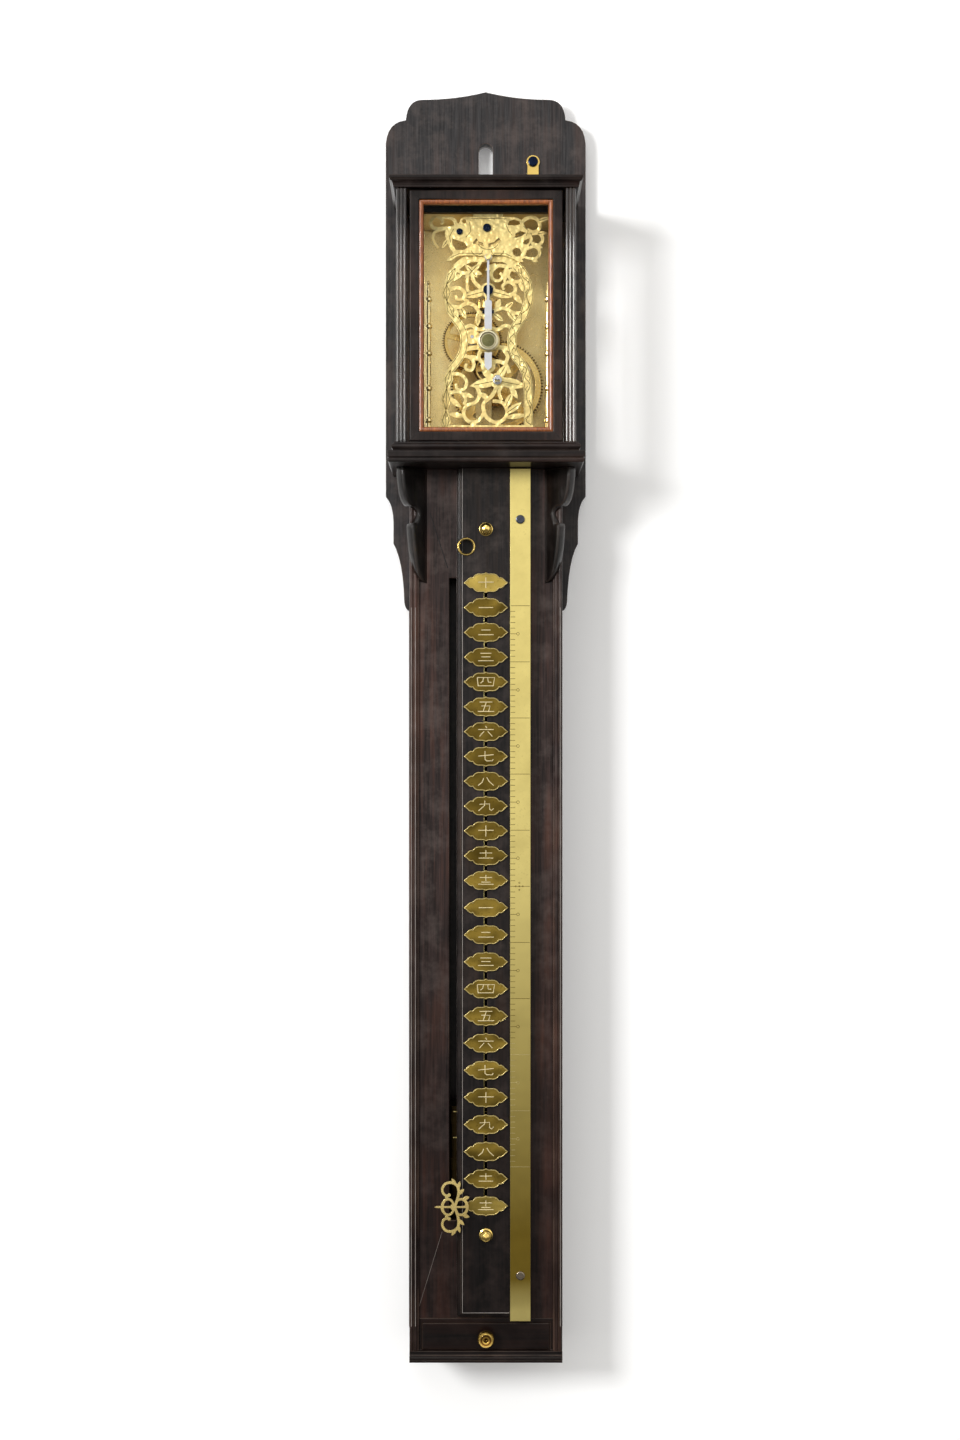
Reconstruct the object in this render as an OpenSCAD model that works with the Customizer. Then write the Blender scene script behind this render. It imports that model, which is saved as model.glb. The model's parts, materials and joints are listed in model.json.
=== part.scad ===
// Japanese pillar clock: a wall-hung case with a glazed hood, a weight-driven going train and a
// falling pointer that reads the time against sliding hour plates.
// Millimetres, +Z up, front towards -Y. The wall is y = 0 and the origin is the top of the hanging slot.

/* [Backboard] */
// Width of the backboard behind the hood
board_w = 112; // [108:1:130]
// Thickness of the backboard
board_t = 9; // [6:0.5:12]
// Height of the crest above the hanging point
crest_rise = 28.8; // [22:0.2:40]
// Drop of the crest from its peak to the shoulders
crest_dip = 4.2; // [2:0.1:8]
// Distance from the board's side to each shoulder
shoulder_in = 21; // [16:0.5:26]
// Distance from the board's side to the cusp between the two lobes
cusp_in = 11.3; // [8:0.1:14]
// Width of the hanging slot
hang_w = 7.9; // [5:0.1:12]
// Length of the hanging slot
hang_l = 24; // [14:1:30]
// How far the backboard stands out beside the trunk
board_lip = 1.5; // [0.5:0.1:3]
// Width of the shoulder step below the hood, measured from the board's side
wing_step = 4.3; // [2:0.1:6]
// Height of the wings below the hood
wing_h = 75; // [60:1:110]

/* [Hood] */
// Distance from the hanging point down to the top of the hood
hood_drop = 34.9; // [30:0.1:50]
// Width of the top cornice
cornice_w = 102.7; // [98:0.1:110]
// Height of the top cornice
cornice_h = 6.1; // [4:0.1:9]
// Width of the hood over its corner posts
hood_w = 95.3; // [92:0.1:97]
// Depth of the hood over its corner posts, from the backboard
hood_d = 63; // [60:0.5:75]
// Overhang of the cornice and the shelf in front of the posts
hood_over = 3; // [1.5:0.1:5]
// Height of the hood's front opening
front_h = 134.6; // [130:0.2:150]
// Width of a corner post
post_w = 5.6; // [4.5:0.1:7]
// Depth of a corner post
post_d = 7; // [5:0.5:9]
// Thickness of the hood's side boards
hood_side_t = 4; // [3:0.1:5]
// Width of the wood round a window in the hood's side
side_rail = 4; // [3:0.1:7]
// Width of the sill moulding under the posts
sill_w = 100.6; // [98:0.1:104]
// Height of the sill moulding
sill_h = 4.8; // [3:0.1:7]
// Width of the sill moulding, front to back
sill_d = 9; // [7:0.5:11]
// Width of the shelf that carries the hood
shelf_w = 104.5; // [102:0.1:112]
// Thickness of the shelf
shelf_h = 6.3; // [5:0.1:9]

/* [Glazed front] */
// Gap beside the glazed front
front_gap = 1.6; // [0.3:0.1:2]
// Gap above and below the glazed front
front_gap_z = 0.9; // [0.3:0.1:1.5]
// Width of the frame's members
frame_w = 4.75; // [4:0.05:7]
// Thickness of the frame
frame_t = 6; // [4:0.5:8]
// Setback of the frame behind the posts' faces
frame_set = 2; // [0.5:0.1:4]
// Width of the red bead that holds the glass
bead_w = 2.6; // [1.5:0.1:4]
// Depth of the bead
bead_t = 2.4; // [1.5:0.1:3]
// Thickness of the glass
glass_t = 1.5; // [1:0.1:2]

/* [Trunk] */
// Width of the trunk
trunk_w = 83; // [80:0.5:92]
// Height of the trunk, down to the foot
trunk_h = 485; // [480:1:520]
// Distance from the wall to the face of the front board
trunk_d = 43; // [42:0.5:46]
// Thickness of the trunk's side boards
side_t = 5; // [4:0.1:6]
// How far the side boards' beaded edges stand before the front board
side_proud = 2.5; // [1.5:0.1:4]
// Thickness of the front board
front_t = 6; // [5:0.1:7]
// Width of the slot that the pointer's stem runs in
slot_w = 4.3; // [3.6:0.1:5]
// Height of the plinth
plinth_h = 6.2; // [4:0.1:9]
// How far the plinth stands before the side boards
plinth_out = 1; // [0.2:0.1:2]
// Thickness of the partition over the drawer
rail_t = 2.4; // [2:0.1:4]

/* [Hour panel] */
// Width of the raised panel
panel_w = 40; // [39:0.2:46]
// Distance from the hour line to the panel's left edge
panel_left = 15.7; // [15.4:0.1:17]
// Thickness of the raised panel
panel_t = 6.5; // [5:0.1:8]
// Clear height between the panel's foot and the partition over the drawer
panel_foot = 1.8; // [1:0.1:4]
// Width of the moulding on the panel's edges
panel_mould = 3; // [2:0.1:4]
// Width of the slit that the hour plates slide in
slit_w = 1.6; // [1.4:0.1:2.4]
// Width of the channel behind the slit
channel_w = 10; // [9:0.5:12]
// Width of the brass rule
rule_w = 10.96; // [9:0.02:12]
// Thickness of the brass rule
rule_t = 1.2; // [0.8:0.1:2]
// Setback of the rule from the panel's right edge
rule_in = 0.25; // [0:0.05:1]
// Head diameter of the rule's screws
rule_screw_d = 4.8; // [4:0.1:6]
// Distance from the trunk's top to the rule's upper screw
rule_screw_drop = 28; // [20:0.5:40]
// Distance from the panel's foot to the rule's lower screw
rule_screw_rise = 23.6; // [15:0.2:40]
// Diameter of the panel's brass studs
stud_d = 7.4; // [5:0.1:9]
// Height of the studs before the panel
stud_h = 6; // [3:0.1:8]
// Distance from the trunk's top to the upper stud
stud_drop = 33.3; // [30:0.1:36]
// Distance from the panel's foot to the lower stud
stud_rise = 45.2; // [40:0.1:46]
// Outer diameter of the eyelet's flange
eyelet_d = 10; // [9.6:0.1:10.4]
// Bore of the eyelet
eyelet_bore = 7.6; // [5:0.1:7.8]
// Distance from the hour line to the eyelet
eyelet_left = 10.6; // [10.4:0.1:11]
// Distance from the trunk's top to the eyelet
eyelet_drop = 42.6; // [41:0.1:43]

/* [Hour plates] */
// Distance from the trunk's top to the first hour plate
hour_drop = 62.2; // [60:0.1:66]
// Distance from the foot of the trunk to the last hour plate
hour_foot = 86.32; // [80:0.02:90]
// Pitch of the upper hours, before the row is spread over the trunk's height
upper_pitch = 13.4; // [13.2:0.1:15]
// Pitch of the lower hours, before the row is spread over the trunk's height
lower_pitch = 14.64; // [13.2:0.02:15.2]
// Width of an hour plate
plate_w = 24.2; // [20:0.1:25]
// Height of an hour plate
plate_h = 11.3; // [9:0.1:11.6]
// Thickness of an hour plate
plate_t = 1; // [0.8:0.1:1.4]
// Clearance of the hour plates to the panel
plate_gap = 0.3; // [0.15:0.05:0.5]

/* [Drawer] */
// Width of the drawer's front
drawer_w = 69.2; // [62:0.2:69.4]
// Height of the drawer
drawer_h = 14.2; // [11:0.1:18]
// Depth of the drawer, with its front
drawer_d = 32.5; // [28:0.5:33]
// Thickness of the drawer's front
drawer_front = 5; // [3:0.1:7]
// Thickness of the drawer's walls and bottom
drawer_wall = 2; // [1.5:0.1:3]
// Clearance round the drawer
drawer_gap = 0.3; // [0.2:0.05:0.6]
// Diameter of the drawer's knob
knob_d = 9.3; // [7:0.1:11]
// Length of the knob before the drawer
knob_l = 8; // [5:0.1:11]

/* [Movement] */
// Height of the wooden seat under the movement
seat_h = 7.4; // [5:0.1:9]
// Half width of the movement's plates
plates_half = 35.5; // [34:0.5:37]
// Clear height between the bottom and the top plate
plates_h = 120.8; // [118:0.1:122]
// Clear height the hood leaves over the movement's top plate, at least
plates_room = 8.6; // [6:0.1:9]
// Thickness of the bottom plate
bottom_plate_t = 2; // [1.5:0.1:3]
// Thickness of the top, back and fret plates
sheet_t = 1.2; // [1:0.1:1.4]
// Diameter of the pillars
pillar_d = 3.2; // [2.6:0.1:4]
// Distance from the edge of the plates to the pillars
pillar_in = 3.1; // [2.6:0.1:4]
// Height of the pillars with their finials
pillar_h = 86; // [70:0.5:96]
// Distance of the winding arbor from the hour line
great_x = 6.1; // [5.6:0.1:6.8]
// Height of the winding arbor over the bottom plate
great_h = 31.1; // [30:0.1:33]
// Direction of the second arbor seen from the winding arbor
second_angle = 119.8; // [117:0.1:122]
// Distance of the escapement from the hour line
verge_x = 1.2; // [0.8:0.1:1.6]
// Height of the verge over the bottom plate
verge_h = 79.9; // [79:0.1:82]
// Height of the pendulum's pivot over the bottom plate
pivot_h = 97; // [95:0.1:99]
// Distance from the pendulum's pivot to the bob
bob_drop = 45; // [40:0.5:46]
// Diameter of the bob
bob_d = 12.4; // [9:0.1:13]
// Diameter of the cord
cord_d = 1; // [0.8:0.1:1.4]
// Diameter of the drum under the cord
drum_d = 11.96; // [10:0.02:14]

/* [Weight] */
// Width of the weight
weight_w = 40; // [39.4:0.2:50]
// Depth of the weight
weight_d = 20; // [14:0.5:21]
// Height of the weight
weight_h = 63; // [40:1:70]
// Distance from the pointer down to the weight's foot
weight_below = 12.6; // [8:0.1:16]
// Half length of the pointer's needle
needle_half = 9; // [7:0.1:10]

/* [Hidden] */
$fn = 48;
hours = 25;

wood = [0.19, 0.15, 0.14];
wood_red = [0.55, 0.29, 0.18];
brass = [0.85, 0.72, 0.40];
olive = [0.46, 0.39, 0.12];
steel = [0.75, 0.76, 0.78];
blued = [0.16, 0.22, 0.36];

hair = 0.05;
arbor_r = 0.9;
run_fit = 0.05;
board_half = board_w / 2;
trunk_half = trunk_w / 2;
lip_half = trunk_half + board_lip;
hang_r = hang_w / 2;
hood_z = -hood_drop;
open_z1 = hood_z - cornice_h;
open_h = max(front_h, seat_h + bottom_plate_t - sill_h + plates_h + plates_room);
open_z0 = open_z1 - open_h;
sill_z0 = open_z0 - sill_h;
trunk_z1 = sill_z0 - shelf_h;
trunk_z0 = trunk_z1 - trunk_h;
base_z = trunk_z0 + plinth_h;
rail_z0 = base_z + drawer_h + 2 * drawer_gap;
rail_z1 = rail_z0 + rail_t;
post_y = -board_t - hood_d;
hood_y = post_y - hood_over;
side_board_x = hood_w / 2 - 0.6 - hood_side_t;
side_x = trunk_half - side_t;
front_y = -trunk_d;
side_y = front_y - side_proud;
face_y = front_y - panel_t;
panel_x0 = -panel_left;
panel_x1 = panel_x0 + panel_w;
panel_z0 = rail_z1 + panel_foot;
rule_x1 = panel_x1 - rule_in;
rule_x0 = rule_x1 - rule_w;
rule_x = (rule_x0 + rule_x1) / 2;
rule_top_screw = trunk_z1 - rule_screw_drop;
rule_low_screw = panel_z0 + rule_screw_rise;
hour_z1 = trunk_z1 - hour_drop;
hour_z0 = trunk_z0 + hour_foot;
row_fit = (hour_z1 - hour_z0) / (12 * (upper_pitch + lower_pitch));
plate_y = face_y - plate_gap;
slot_x = panel_x0 - slot_w;
stem_w = slot_w - 2.1;
stem_x = slot_x + slot_w / 2;
stem_half = 1.6;
slot_z1 = hour_z1 + stem_half + 1.5;
slot_z0 = hour_z0 - stem_half - 8;
pointer_y = plate_y - plate_t - 1.5;
pointer_t = 1.2;
seat_z = sill_z0 + seat_h;
plates_z = seat_z + bottom_plate_t;
plates_top = plates_z + plates_h;
plates_y = -board_t - 4;
fret_y = -50.5;
fret_t = 1.5;
fret_face = fret_y - fret_t;
cock_t = 1.5;
cock_face = fret_face - cock_t;
cock_h = 23.8;
cock_fit = (plates_h - pivot_h) / cock_h;
bar_y = -34;
bar_t = 1.5;
great_m = 0.5446;
great_z = 92;
second_m = 0.424;
second_z = 76;
leaves = 8;
contrate_z = 36;
contrate_r = 7.6;
crown_leaves = 6;
crown_z = 25;
crown_r = 5.5;
great = [great_x, plates_z + great_h];
second = great + great_m * (great_z + leaves) / 2 * [cos(second_angle), sin(second_angle)];
third_reach = second_m * (second_z + leaves) / 2;
third = [verge_x, second.y - sqrt(third_reach * third_reach - pow(verge_x - second.x, 2))];
crown_y = -42.6;
crown_pitch_r = contrate_r * crown_leaves / contrate_z;
verge_z = plates_z + verge_h;
pivot_z = plates_z + pivot_h;
crown_top = verge_z - 3.5;
crown_tall = 5;
crutch_share = 0.553;
crutch_l = crutch_share * (verge_h - pivot_h + bob_drop - bob_d / 2);
crown_arbor_r = 0.8;
rod_w = 3.9;
drum_y1 = -16;
drum_y0 = -29;
wheel_y = -31;
second_y = -36.5;
drum_mid = (drum_y0 + drum_y1) / 2;
cord_x = great.x - (drum_d + cord_d) / 2 - hair;
weight_z0 = hour_z0 - weight_below;
weight_z1 = weight_z0 + weight_h;
weight_y = drum_mid - weight_d / 2;
cord_end = weight_z1 + 4.45;
frame_x = hood_w / 2 - post_w - front_gap;
frame_z1 = open_z1 - front_gap_z;
frame_z0 = open_z0 + front_gap_z;
frame_face = post_y + frame_set;
glass_x = frame_x - frame_w;
strap_x = 26.5;
strap_z = -10.5;
screw_shank = 1;
knob_z = base_z + drawer_gap + drawer_h / 2;
second_pinion_turn = second_angle + 180 + second_angle * great_z / leaves + 180 / leaves;
third_angle = atan2(third.y - second.y, third.x - second.x);
second_turn = third_angle + 180 / second_z;
third_turn = third_angle + 180;

function hour_name(i) = str("hour_", i < 10 ? "0" : "", i);
function hour_z(i) = hour_z1 - row_fit * (upper_pitch * min(i, 12) + lower_pitch * max(i - 12, 0));
// Points of the cock, drawn from the pendulum's pivot up, fitted between the pivot and the top plate
function hung(points) = [for (p = points) [p.x, pivot_h + p.y * cock_fit]];
cock_screws = hung([[-0.6, 16], [-15.4, 14]]);
function arc(c, r, a0, a1, n = 6) =
    [for (i = [0 : n]) c + r * [cos(a0 + (a1 - a0) * i / n), sin(a0 + (a1 - a0) * i / n)]];
function curve(p, q, r, n = 6) =
    [for (i = [0 : n]) let (t = i / n) (1 - t) * (1 - t) * p + 2 * t * (1 - t) * q + t * t * r];
function both(half) = concat(half, [for (i = [len(half) - 1 : -1 : 0]) [-half[i].x, half[i].y]]);
function side_of(v) = [-v.y, v.x] / norm(v);
function heading(p, i) = p[min(i + 1, len(p) - 1)] - p[max(i - 1, 0)];
function ribbon(p, w0, w1) = let (n = len(p) - 1) concat(
    [for (i = [0 : n]) p[i] + side_of(heading(p, i)) * (w0 + (w1 - w0) * i / n) / 2],
    [for (i = [n : -1 : 0]) p[i] - side_of(heading(p, i)) * (w0 + (w1 - w0) * i / n) / 2]);
function smooth(p, n = 3) = concat([for (i = [0 : len(p) - 2]) for (k = [0 : n - 1])
    let (t = k / n, a = p[max(i - 1, 0)], b = p[i], c = p[i + 1], d = p[min(i + 2, len(p) - 1)])
        b + t * (c - a) / 2 + t * t * (2 * a - 5 * b + 4 * c - d)
            / 2 + t * t * t * (3 * b - a - 3 * c + d) / 2],
    [p[len(p) - 1]]);
function gear(z, m, add, ded, root, tip, turn = 0) = [for (i = [0 : z - 1]) for (k = [0 : 3])
    let (r = m * z / 2 + (k == 0 || k == 3 ? -ded : add) * m,
         a = turn + 360 / z * (i + [-root, -tip, tip, root][k] / 2)) r * [cos(a), sin(a)]];

// A flat shape drawn in front view (x, z), with its back at y and its thickness towards the front
module plate(y, t) { translate([0, y, 0]) rotate([90, 0, 0]) linear_extrude(t) children(); }
// A profile drawn in side view (y, z) and run along X
module across(x0, x1) { translate([x0, 0, 0]) rotate([90, 0, 90]) linear_extrude(x1 - x0) children(); }
module box(a, b) { translate(a) cube(b - a); }
module pair() { children(); mirror([1, 0, 0]) children(); }
// A turned piece whose axis points to the front from p; its profile is (radius, height)
module turned(p, profile) { translate(p) rotate([90, 0, 0]) rotate_extrude() polygon(profile); }
module rod(x, z, y0, y1, r) { translate([x, y0, z]) rotate([90, 0, 0]) cylinder(r = r, h = y0 - y1); }
// Ornament is cut from sheet of thickness $sheet; side -1 mirrors a leaf or tendril
module leaf(p, q, w, side = 1) {
    a = [side * p.x, p.y];
    b = [side * q.x, q.y];
    out = side_of(b - a) * w;
    under = curve(b, (a + b) / 2 - out, a);
    linear_extrude($sheet) polygon(concat(curve(a, (a + b) / 2 + out, b), [for (i = [1 : 5]) under[i]]));
}
// A band through the given points whose width runs from w0 to w1
module tendril(p, w0 = 2, w1 = 1.2, side = 1) {
    linear_extrude($sheet) polygon(ribbon(smooth([for (q = p) [side * q.x, q.y]]), w0, w1));
}

// Board with the crest, the hanging slot and the shaped wings below the hood
module backboard() {
    shoulder = [board_half - shoulder_in, crest_rise - crest_dip];
    cusp = [board_half - cusp_in, crest_rise - 15.7];
    crest_r = (shoulder.x * shoulder.x + crest_dip * crest_dip) / (2 * crest_dip);
    step_x = board_half - wing_step;
    z0 = trunk_z1 - 11;
    z1 = trunk_z1 - wing_h * 0.5;
    z2 = trunk_z1 - wing_h;
    outline = concat(
        arc(shoulder + [0, crest_r], crest_r, 270 - asin(shoulder.x / crest_r), 270, 8),
        curve(shoulder, [cusp.x - 0.6, shoulder.y], cusp, 8),
        curve(cusp, [board_half - 1, cusp.y - 1], [board_half, cusp.y - 13], 6),
        curve([board_half, z0], [step_x + 0.4, z0 - 4], [step_x, z0 - 14], 6),
        curve([step_x, z1], [lip_half + 3.4, z1 - 9], [lip_half + 2.6, z2 + 5], 6),
        curve([lip_half + 2.6, z2 + 4.9], [lip_half + 2.2, z2 + 0.5], [lip_half, z2], 4),
        [[lip_half, trunk_z0 + 9], [lip_half - 3, trunk_z0], [0, trunk_z0]]);
    color(wood) difference() {
        plate(0, board_t) polygon(both(outline));
        rod(0, -hang_r, 1, -board_t - 1, hang_r);
        rod(0, hang_r - hang_l, 1, -board_t - 1, hang_r);
        box([-hang_r, -board_t - 1, hang_r - hang_l], [hang_r, 1, -hang_r]);
        rod(strap_x, strap_z, -2, -board_t - 1, screw_shank + hair);
    }
}

// The trunk's two side boards, with two beads run on their front edges
module trunk_sides() {
    bead_r = side_t / 4.6;
    y = side_y + bead_r;
    x1 = trunk_half;
    profile = concat([[side_x, -board_t], [x1, -board_t], [x1, y]],
        arc([x1 - bead_r, y], bead_r, 0, -180), arc([x1 - 3 * bead_r, y], bead_r, 0, -180),
        [[side_x, y]]);
    color(wood) pair() translate([0, 0, base_z]) linear_extrude(trunk_z1 - base_z) polygon(profile);
}

// Plinth with its moulded front, the cheeks beside the drawer and the partition over it
module trunk_base() {
    y = side_y - plinth_out;
    h = plinth_h;
    cheek = drawer_w / 2 + drawer_gap;
    profile = concat([[-board_t, trunk_z0], [y + 1, trunk_z0], [y + 1, trunk_z0 + h * 0.15]],
        arc([y + h * 0.2, trunk_z0 + h * 0.4], h * 0.2, 270, 90),
        [[y + 1, trunk_z0 + h * 0.66], [side_y + 0.4, trunk_z0 + h * 0.66], [side_y + 0.4, base_z],
         [-board_t, base_z]]);
    color(wood) {
        across(-trunk_half, trunk_half) polygon(profile);
        pair() box([cheek, front_y, base_z], [side_x, -board_t, rail_z0]);
        box([-side_x, front_y, rail_z0], [side_x, -board_t, rail_z1]);
    }
}

// Front board of the trunk, with the pointer's slot and the channel behind the hour plates
module front_board() {
    color(wood) difference() {
        box([-side_x, front_y, rail_z1], [side_x, front_y + front_t, trunk_z1]);
        box([slot_x, front_y - 1, slot_z0], [slot_x + slot_w, front_y + front_t + 1, slot_z1]);
        box([-channel_w / 2, front_y - 1, hour_z0 - plate_h / 2],
            [channel_w / 2, front_y + front_t + 1, hour_z1 + plate_h / 2]);
        for (z = [trunk_z1 - stud_drop, panel_z0 + stud_rise]) rod(0, z, front_y + 4, front_y - 1, 1.5);
    }
}

// Wooden seat that lifts the movement off the shelf, with a hole for the cord
module seat_board() {
    color(wood) difference() {
        box([verge_x - plates_half, fret_face, sill_z0], [verge_x + plates_half, plates_y, seat_z]);
        translate([cord_x, drum_mid, sill_z0 - 1]) cylinder(d = 5, h = seat_h + 2);
    }
}

// Raised panel with moulded left and bottom edges, and the slit that the hour plates slide in
module hour_panel() {
    m = panel_mould;
    edge = [[0, 0.66 * panel_t], [0.5 * m, 0.24 * panel_t], [0.72 * m, 0.24 * panel_t], [m, 0]];
    rise = concat([[0, panel_t]], curve(edge[0], [0, edge[1].y], edge[1]), [edge[2]],
        curve(edge[2], [edge[2].x, 0], edge[3], 4));
    color(wood) difference() {
        intersection() {
            translate([0, 0, panel_z0]) linear_extrude(trunk_z1 - hair - panel_z0) polygon(concat(
                [for (p = rise) [panel_x0 + p.x, face_y + p.y]], [[panel_x1, face_y], [panel_x1, front_y]]));
            across(panel_x0, panel_x1) polygon(concat(
                [for (p = rise) [face_y + p.y, panel_z0 + p.x]], [[face_y, trunk_z1], [front_y, trunk_z1]]));
        }
        box([-slit_w / 2, face_y - 1, hour_z0 - plate_h / 2],
            [slit_w / 2, front_y + 1, hour_z1 + plate_h / 2]);
        for (z = [trunk_z1 - stud_drop, panel_z0 + stud_rise]) rod(0, z, front_y + 1, face_y - 1, 1.5);
        for (z = [rule_top_screw, rule_low_screw])
            rod(rule_x, z, front_y - 1.5, face_y - 1, screw_shank + hair);
        rod(-eyelet_left, trunk_z1 - eyelet_drop, front_y + 1, face_y - 1, eyelet_bore / 2 + 0.5);
    }
}

// Brass rule screwed to the panel, with its foot turned back under the panel's edge
module rule() {
    foot = panel_z0 - 1.1;
    color(brass) difference() {
        union() {
            box([rule_x0, face_y - rule_t, foot], [rule_x1, face_y, trunk_z1 - 0.6]);
            box([rule_x0, face_y - rule_t, foot], [rule_x1, face_y + 2, panel_z0 - hair]);
        }
        for (z = [rule_top_screw, rule_low_screw])
            rod(rule_x, z, face_y + 1, face_y - rule_t - 1, screw_shank + hair);
    }
}

// A screw with a slotted head, its head's back at p
module screw(p, d, h, length, turn = 0) {
    translate(p) rotate([90, 0, 0]) difference() {
        union() {
            rotate_extrude() polygon(concat([[0, 0], [d / 2, 0], [d / 2, h * 0.6]],
                curve([d / 2, h * 0.6], [d / 2, h], [d / 2 - h * 0.6, h], 4), [[0, h]]));
            translate([0, 0, -length]) cylinder(r = screw_shank, h = length + 0.1);
        }
        rotate(turn) translate([-d, -0.3, h * 0.5]) cube([2 * d, 0.6, h]);
    }
}

// Screws of the rule, the strap and the cock
module screws() {
    color(blued) {
        screw([rule_x, face_y - rule_t, rule_top_screw], rule_screw_d, 1.2, 5, 35);
        screw([rule_x, face_y - rule_t, rule_low_screw], rule_screw_d, 1.2, 5, -20);
        screw([strap_x, -board_t - 1.2 - hair, strap_z], 5.6, 1.6, 6.5, 80);
        screw([verge_x + cock_screws[0].x, cock_face, plates_z + cock_screws[0].y], 4.4, 1.2, 1.4, 10);
        screw([verge_x + cock_screws[1].x, cock_face, plates_z + cock_screws[1].y], 3.4, 1, 1.4, 60);
    }
}

// Turned brass studs that hold the panel, and the eyelet set near its left edge
module panel_fittings() {
    panel_studs();
    eyelet();
}
module panel_studs() {
    r = stud_d / 2;
    h = stud_h;
    profile = concat([[0, -panel_t - 3.5], [1.5 - hair, -panel_t - 3.5], [1.5 - hair, 0], [r, 0], [r,
        h * 0.16]],
        curve([r * 0.72, h * 0.24], [r * 1.14, h * 0.62], [r * 0.5, h * 0.9], 6), [[0, h]]);
    color(brass) for (z = [trunk_z1 - stud_drop, panel_z0 + stud_rise]) turned([0, face_y, z], profile);
}

module eyelet() {
    bore = eyelet_bore / 2;
    r = eyelet_d / 2;
    profile = concat([[bore, -panel_t + hair], [bore + 0.5 - hair, -panel_t + hair], [bore + 0.5 - hair,
        0], [r, 0]],
        curve([r, 0], [r - 0.1, 0.9], [(bore + r) / 2, 0.9], 4), [[bore, 0.5]]);
    color(brass) turned([-eyelet_left, face_y, trunk_z1 - eyelet_drop], profile);
}

// Scalloped brackets set diagonally under the shelf
module corbels() {
    t = 5;
    k = sqrt(2);
    root = side_x - 4.5;
    outline = concat([[-6, 0], [12.7 * k, 0]],
        curve([12.7 * k, -4], [11.9 * k, -15.5], [10.2 * k, -18.2], 6),
        curve([10.2 * k, -18.2], [8.6 * k, -21.6], [6.4 * k, -20.4], 4),
        curve([6.4 * k, -20.4], [3.4 * k, -22.6], [4.6 * k, -26.6], 5),
        curve([4.6 * k, -26.6], [5.2 * k, -28.6], [5.2 * k, -29.4], 3),
        curve([6 * k, -29.6], [8 * k, -29.8], [7.4 * k, -33], 4),
        curve([7.4 * k, -33], [6.9 * k, -44], [5.3 * k, -53], 6),
        curve([5.3 * k, -53], [4.4 * k, -61], [0, -62], 5), [[-6, -62]]);
    color(wood) pair() difference() {
        translate([root, front_y, trunk_z1 - hair]) rotate([0, 0, -45]) rotate([90, 0, 0])
            translate([0, 0, -t]) linear_extrude(t) polygon(outline);
        box([0, front_y, trunk_z1 - 80], [80, front_y + 40, trunk_z1 + 1]);
        box([side_x - 0.01, side_y, trunk_z1 - 80], [80, front_y + 40, trunk_z1 + 1]);
    }
}

// A board whose front and side edges carry the same moulding; edge is (inset, height) from the bottom
module moulded_board(half, y_front, z0, edge) {
    n = len(edge) - 1;
    intersection() {
        across(-half, half) polygon(concat([[-board_t - hair, z0 + edge[0].y]],
            [for (p = edge) [y_front + p.x, z0 + p.y]], [[-board_t - hair, z0 + edge[n].y]]));
        plate(-board_t - hair, -board_t - hair - y_front) polygon(concat(
            [for (p = edge) [half - p.x, z0 + p.y]],
            [for (i = [n : -1 : 0]) [edge[i].x - half, z0 + edge[i].y]]));
    }
}

// Top cornice of the hood
module hood_top() {
    h = cornice_h;
    color(wood) moulded_board(cornice_w / 2, hood_y, open_z1, concat([[2.2, 0], [2.2, h * 0.2]],
        curve([2, h * 0.2], [1.9, h * 0.5], [0.4, h * 0.6], 4), [[0.4, h * 0.72], [0, h * 0.72], [0, h]]));
}

// Half-round sill moulding under the posts, open behind
module hood_sill() {
    h = sill_h - hair;
    color(wood) difference() {
        moulded_board(sill_w / 2, hood_y + 0.6, sill_z0 + hair, concat([[0.9, 0]],
            curve([0.9, h * 0.12], [-0.9, h * 0.5], [1.2, h * 0.82], 6), [[1.6, h]]));
        box([sill_d - sill_w / 2, hood_y + sill_d, sill_z0 - 1], [sill_w / 2 - sill_d, 0, open_z0 + 1]);
    }
}

// Shelf under the hood, with reeded edges and a hole for the cord
module hood_shelf() {
    h = shelf_h;
    color(wood) difference() {
        moulded_board(shelf_w / 2, hood_y - 0.6, trunk_z1, concat([[0.8, 0], [0.3, h * 0.1], [0.3, h * 0.3],
            [0.7, h * 0.34], [0.7, h * 0.4], [0, h * 0.44], [0, h * 0.92], [0.5, h]]));
        translate([cord_x, drum_mid, trunk_z1 - 1]) cylinder(d = 5, h = shelf_h + 2);
    }
}

// Window in a side of the hood between two distances from the hour line, less gap all round
module side_window(x0, x1, gap) {
    box([x0, post_y + post_d + side_rail + gap, open_z0 + side_rail + gap],
        [x1, -board_t - side_rail - gap, open_z1 - side_rail - gap]);
}

// The hood's side boards with their reeded corner posts and windows
module hood_sides() {
    x1 = hood_w / 2;
    x0 = x1 - post_w;
    r = post_w / 6;
    y = post_y + r;
    post = concat([[x0, post_y + post_d], [x0, y]], arc([x0 + r, y], r, 180, 360, 4),
        arc([x0 + 3 * r, y], r, 180, 360, 4), arc([x0 + 5 * r, y], r, 180, 360, 4), [[x1, post_y + post_d]]);
    color(wood) pair() difference() {
        translate([0, 0, open_z0 + hair]) linear_extrude(open_h - 2 * hair) {
            polygon(post);
            translate([side_board_x, post_y + post_d - 1])
                square([hood_side_t, hood_d - post_d + 1 - hair]);
        }
        side_window(side_board_x - 1, x1 + 1, 0);
    }
}

// Panes in the windows of the hood's sides
module side_glass() {
    x = side_board_x + (hood_side_t - glass_t) / 2;
    color([0.8, 0.87, 0.88, 0.4]) pair() side_window(x, x + glass_t, hair);
}

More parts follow.
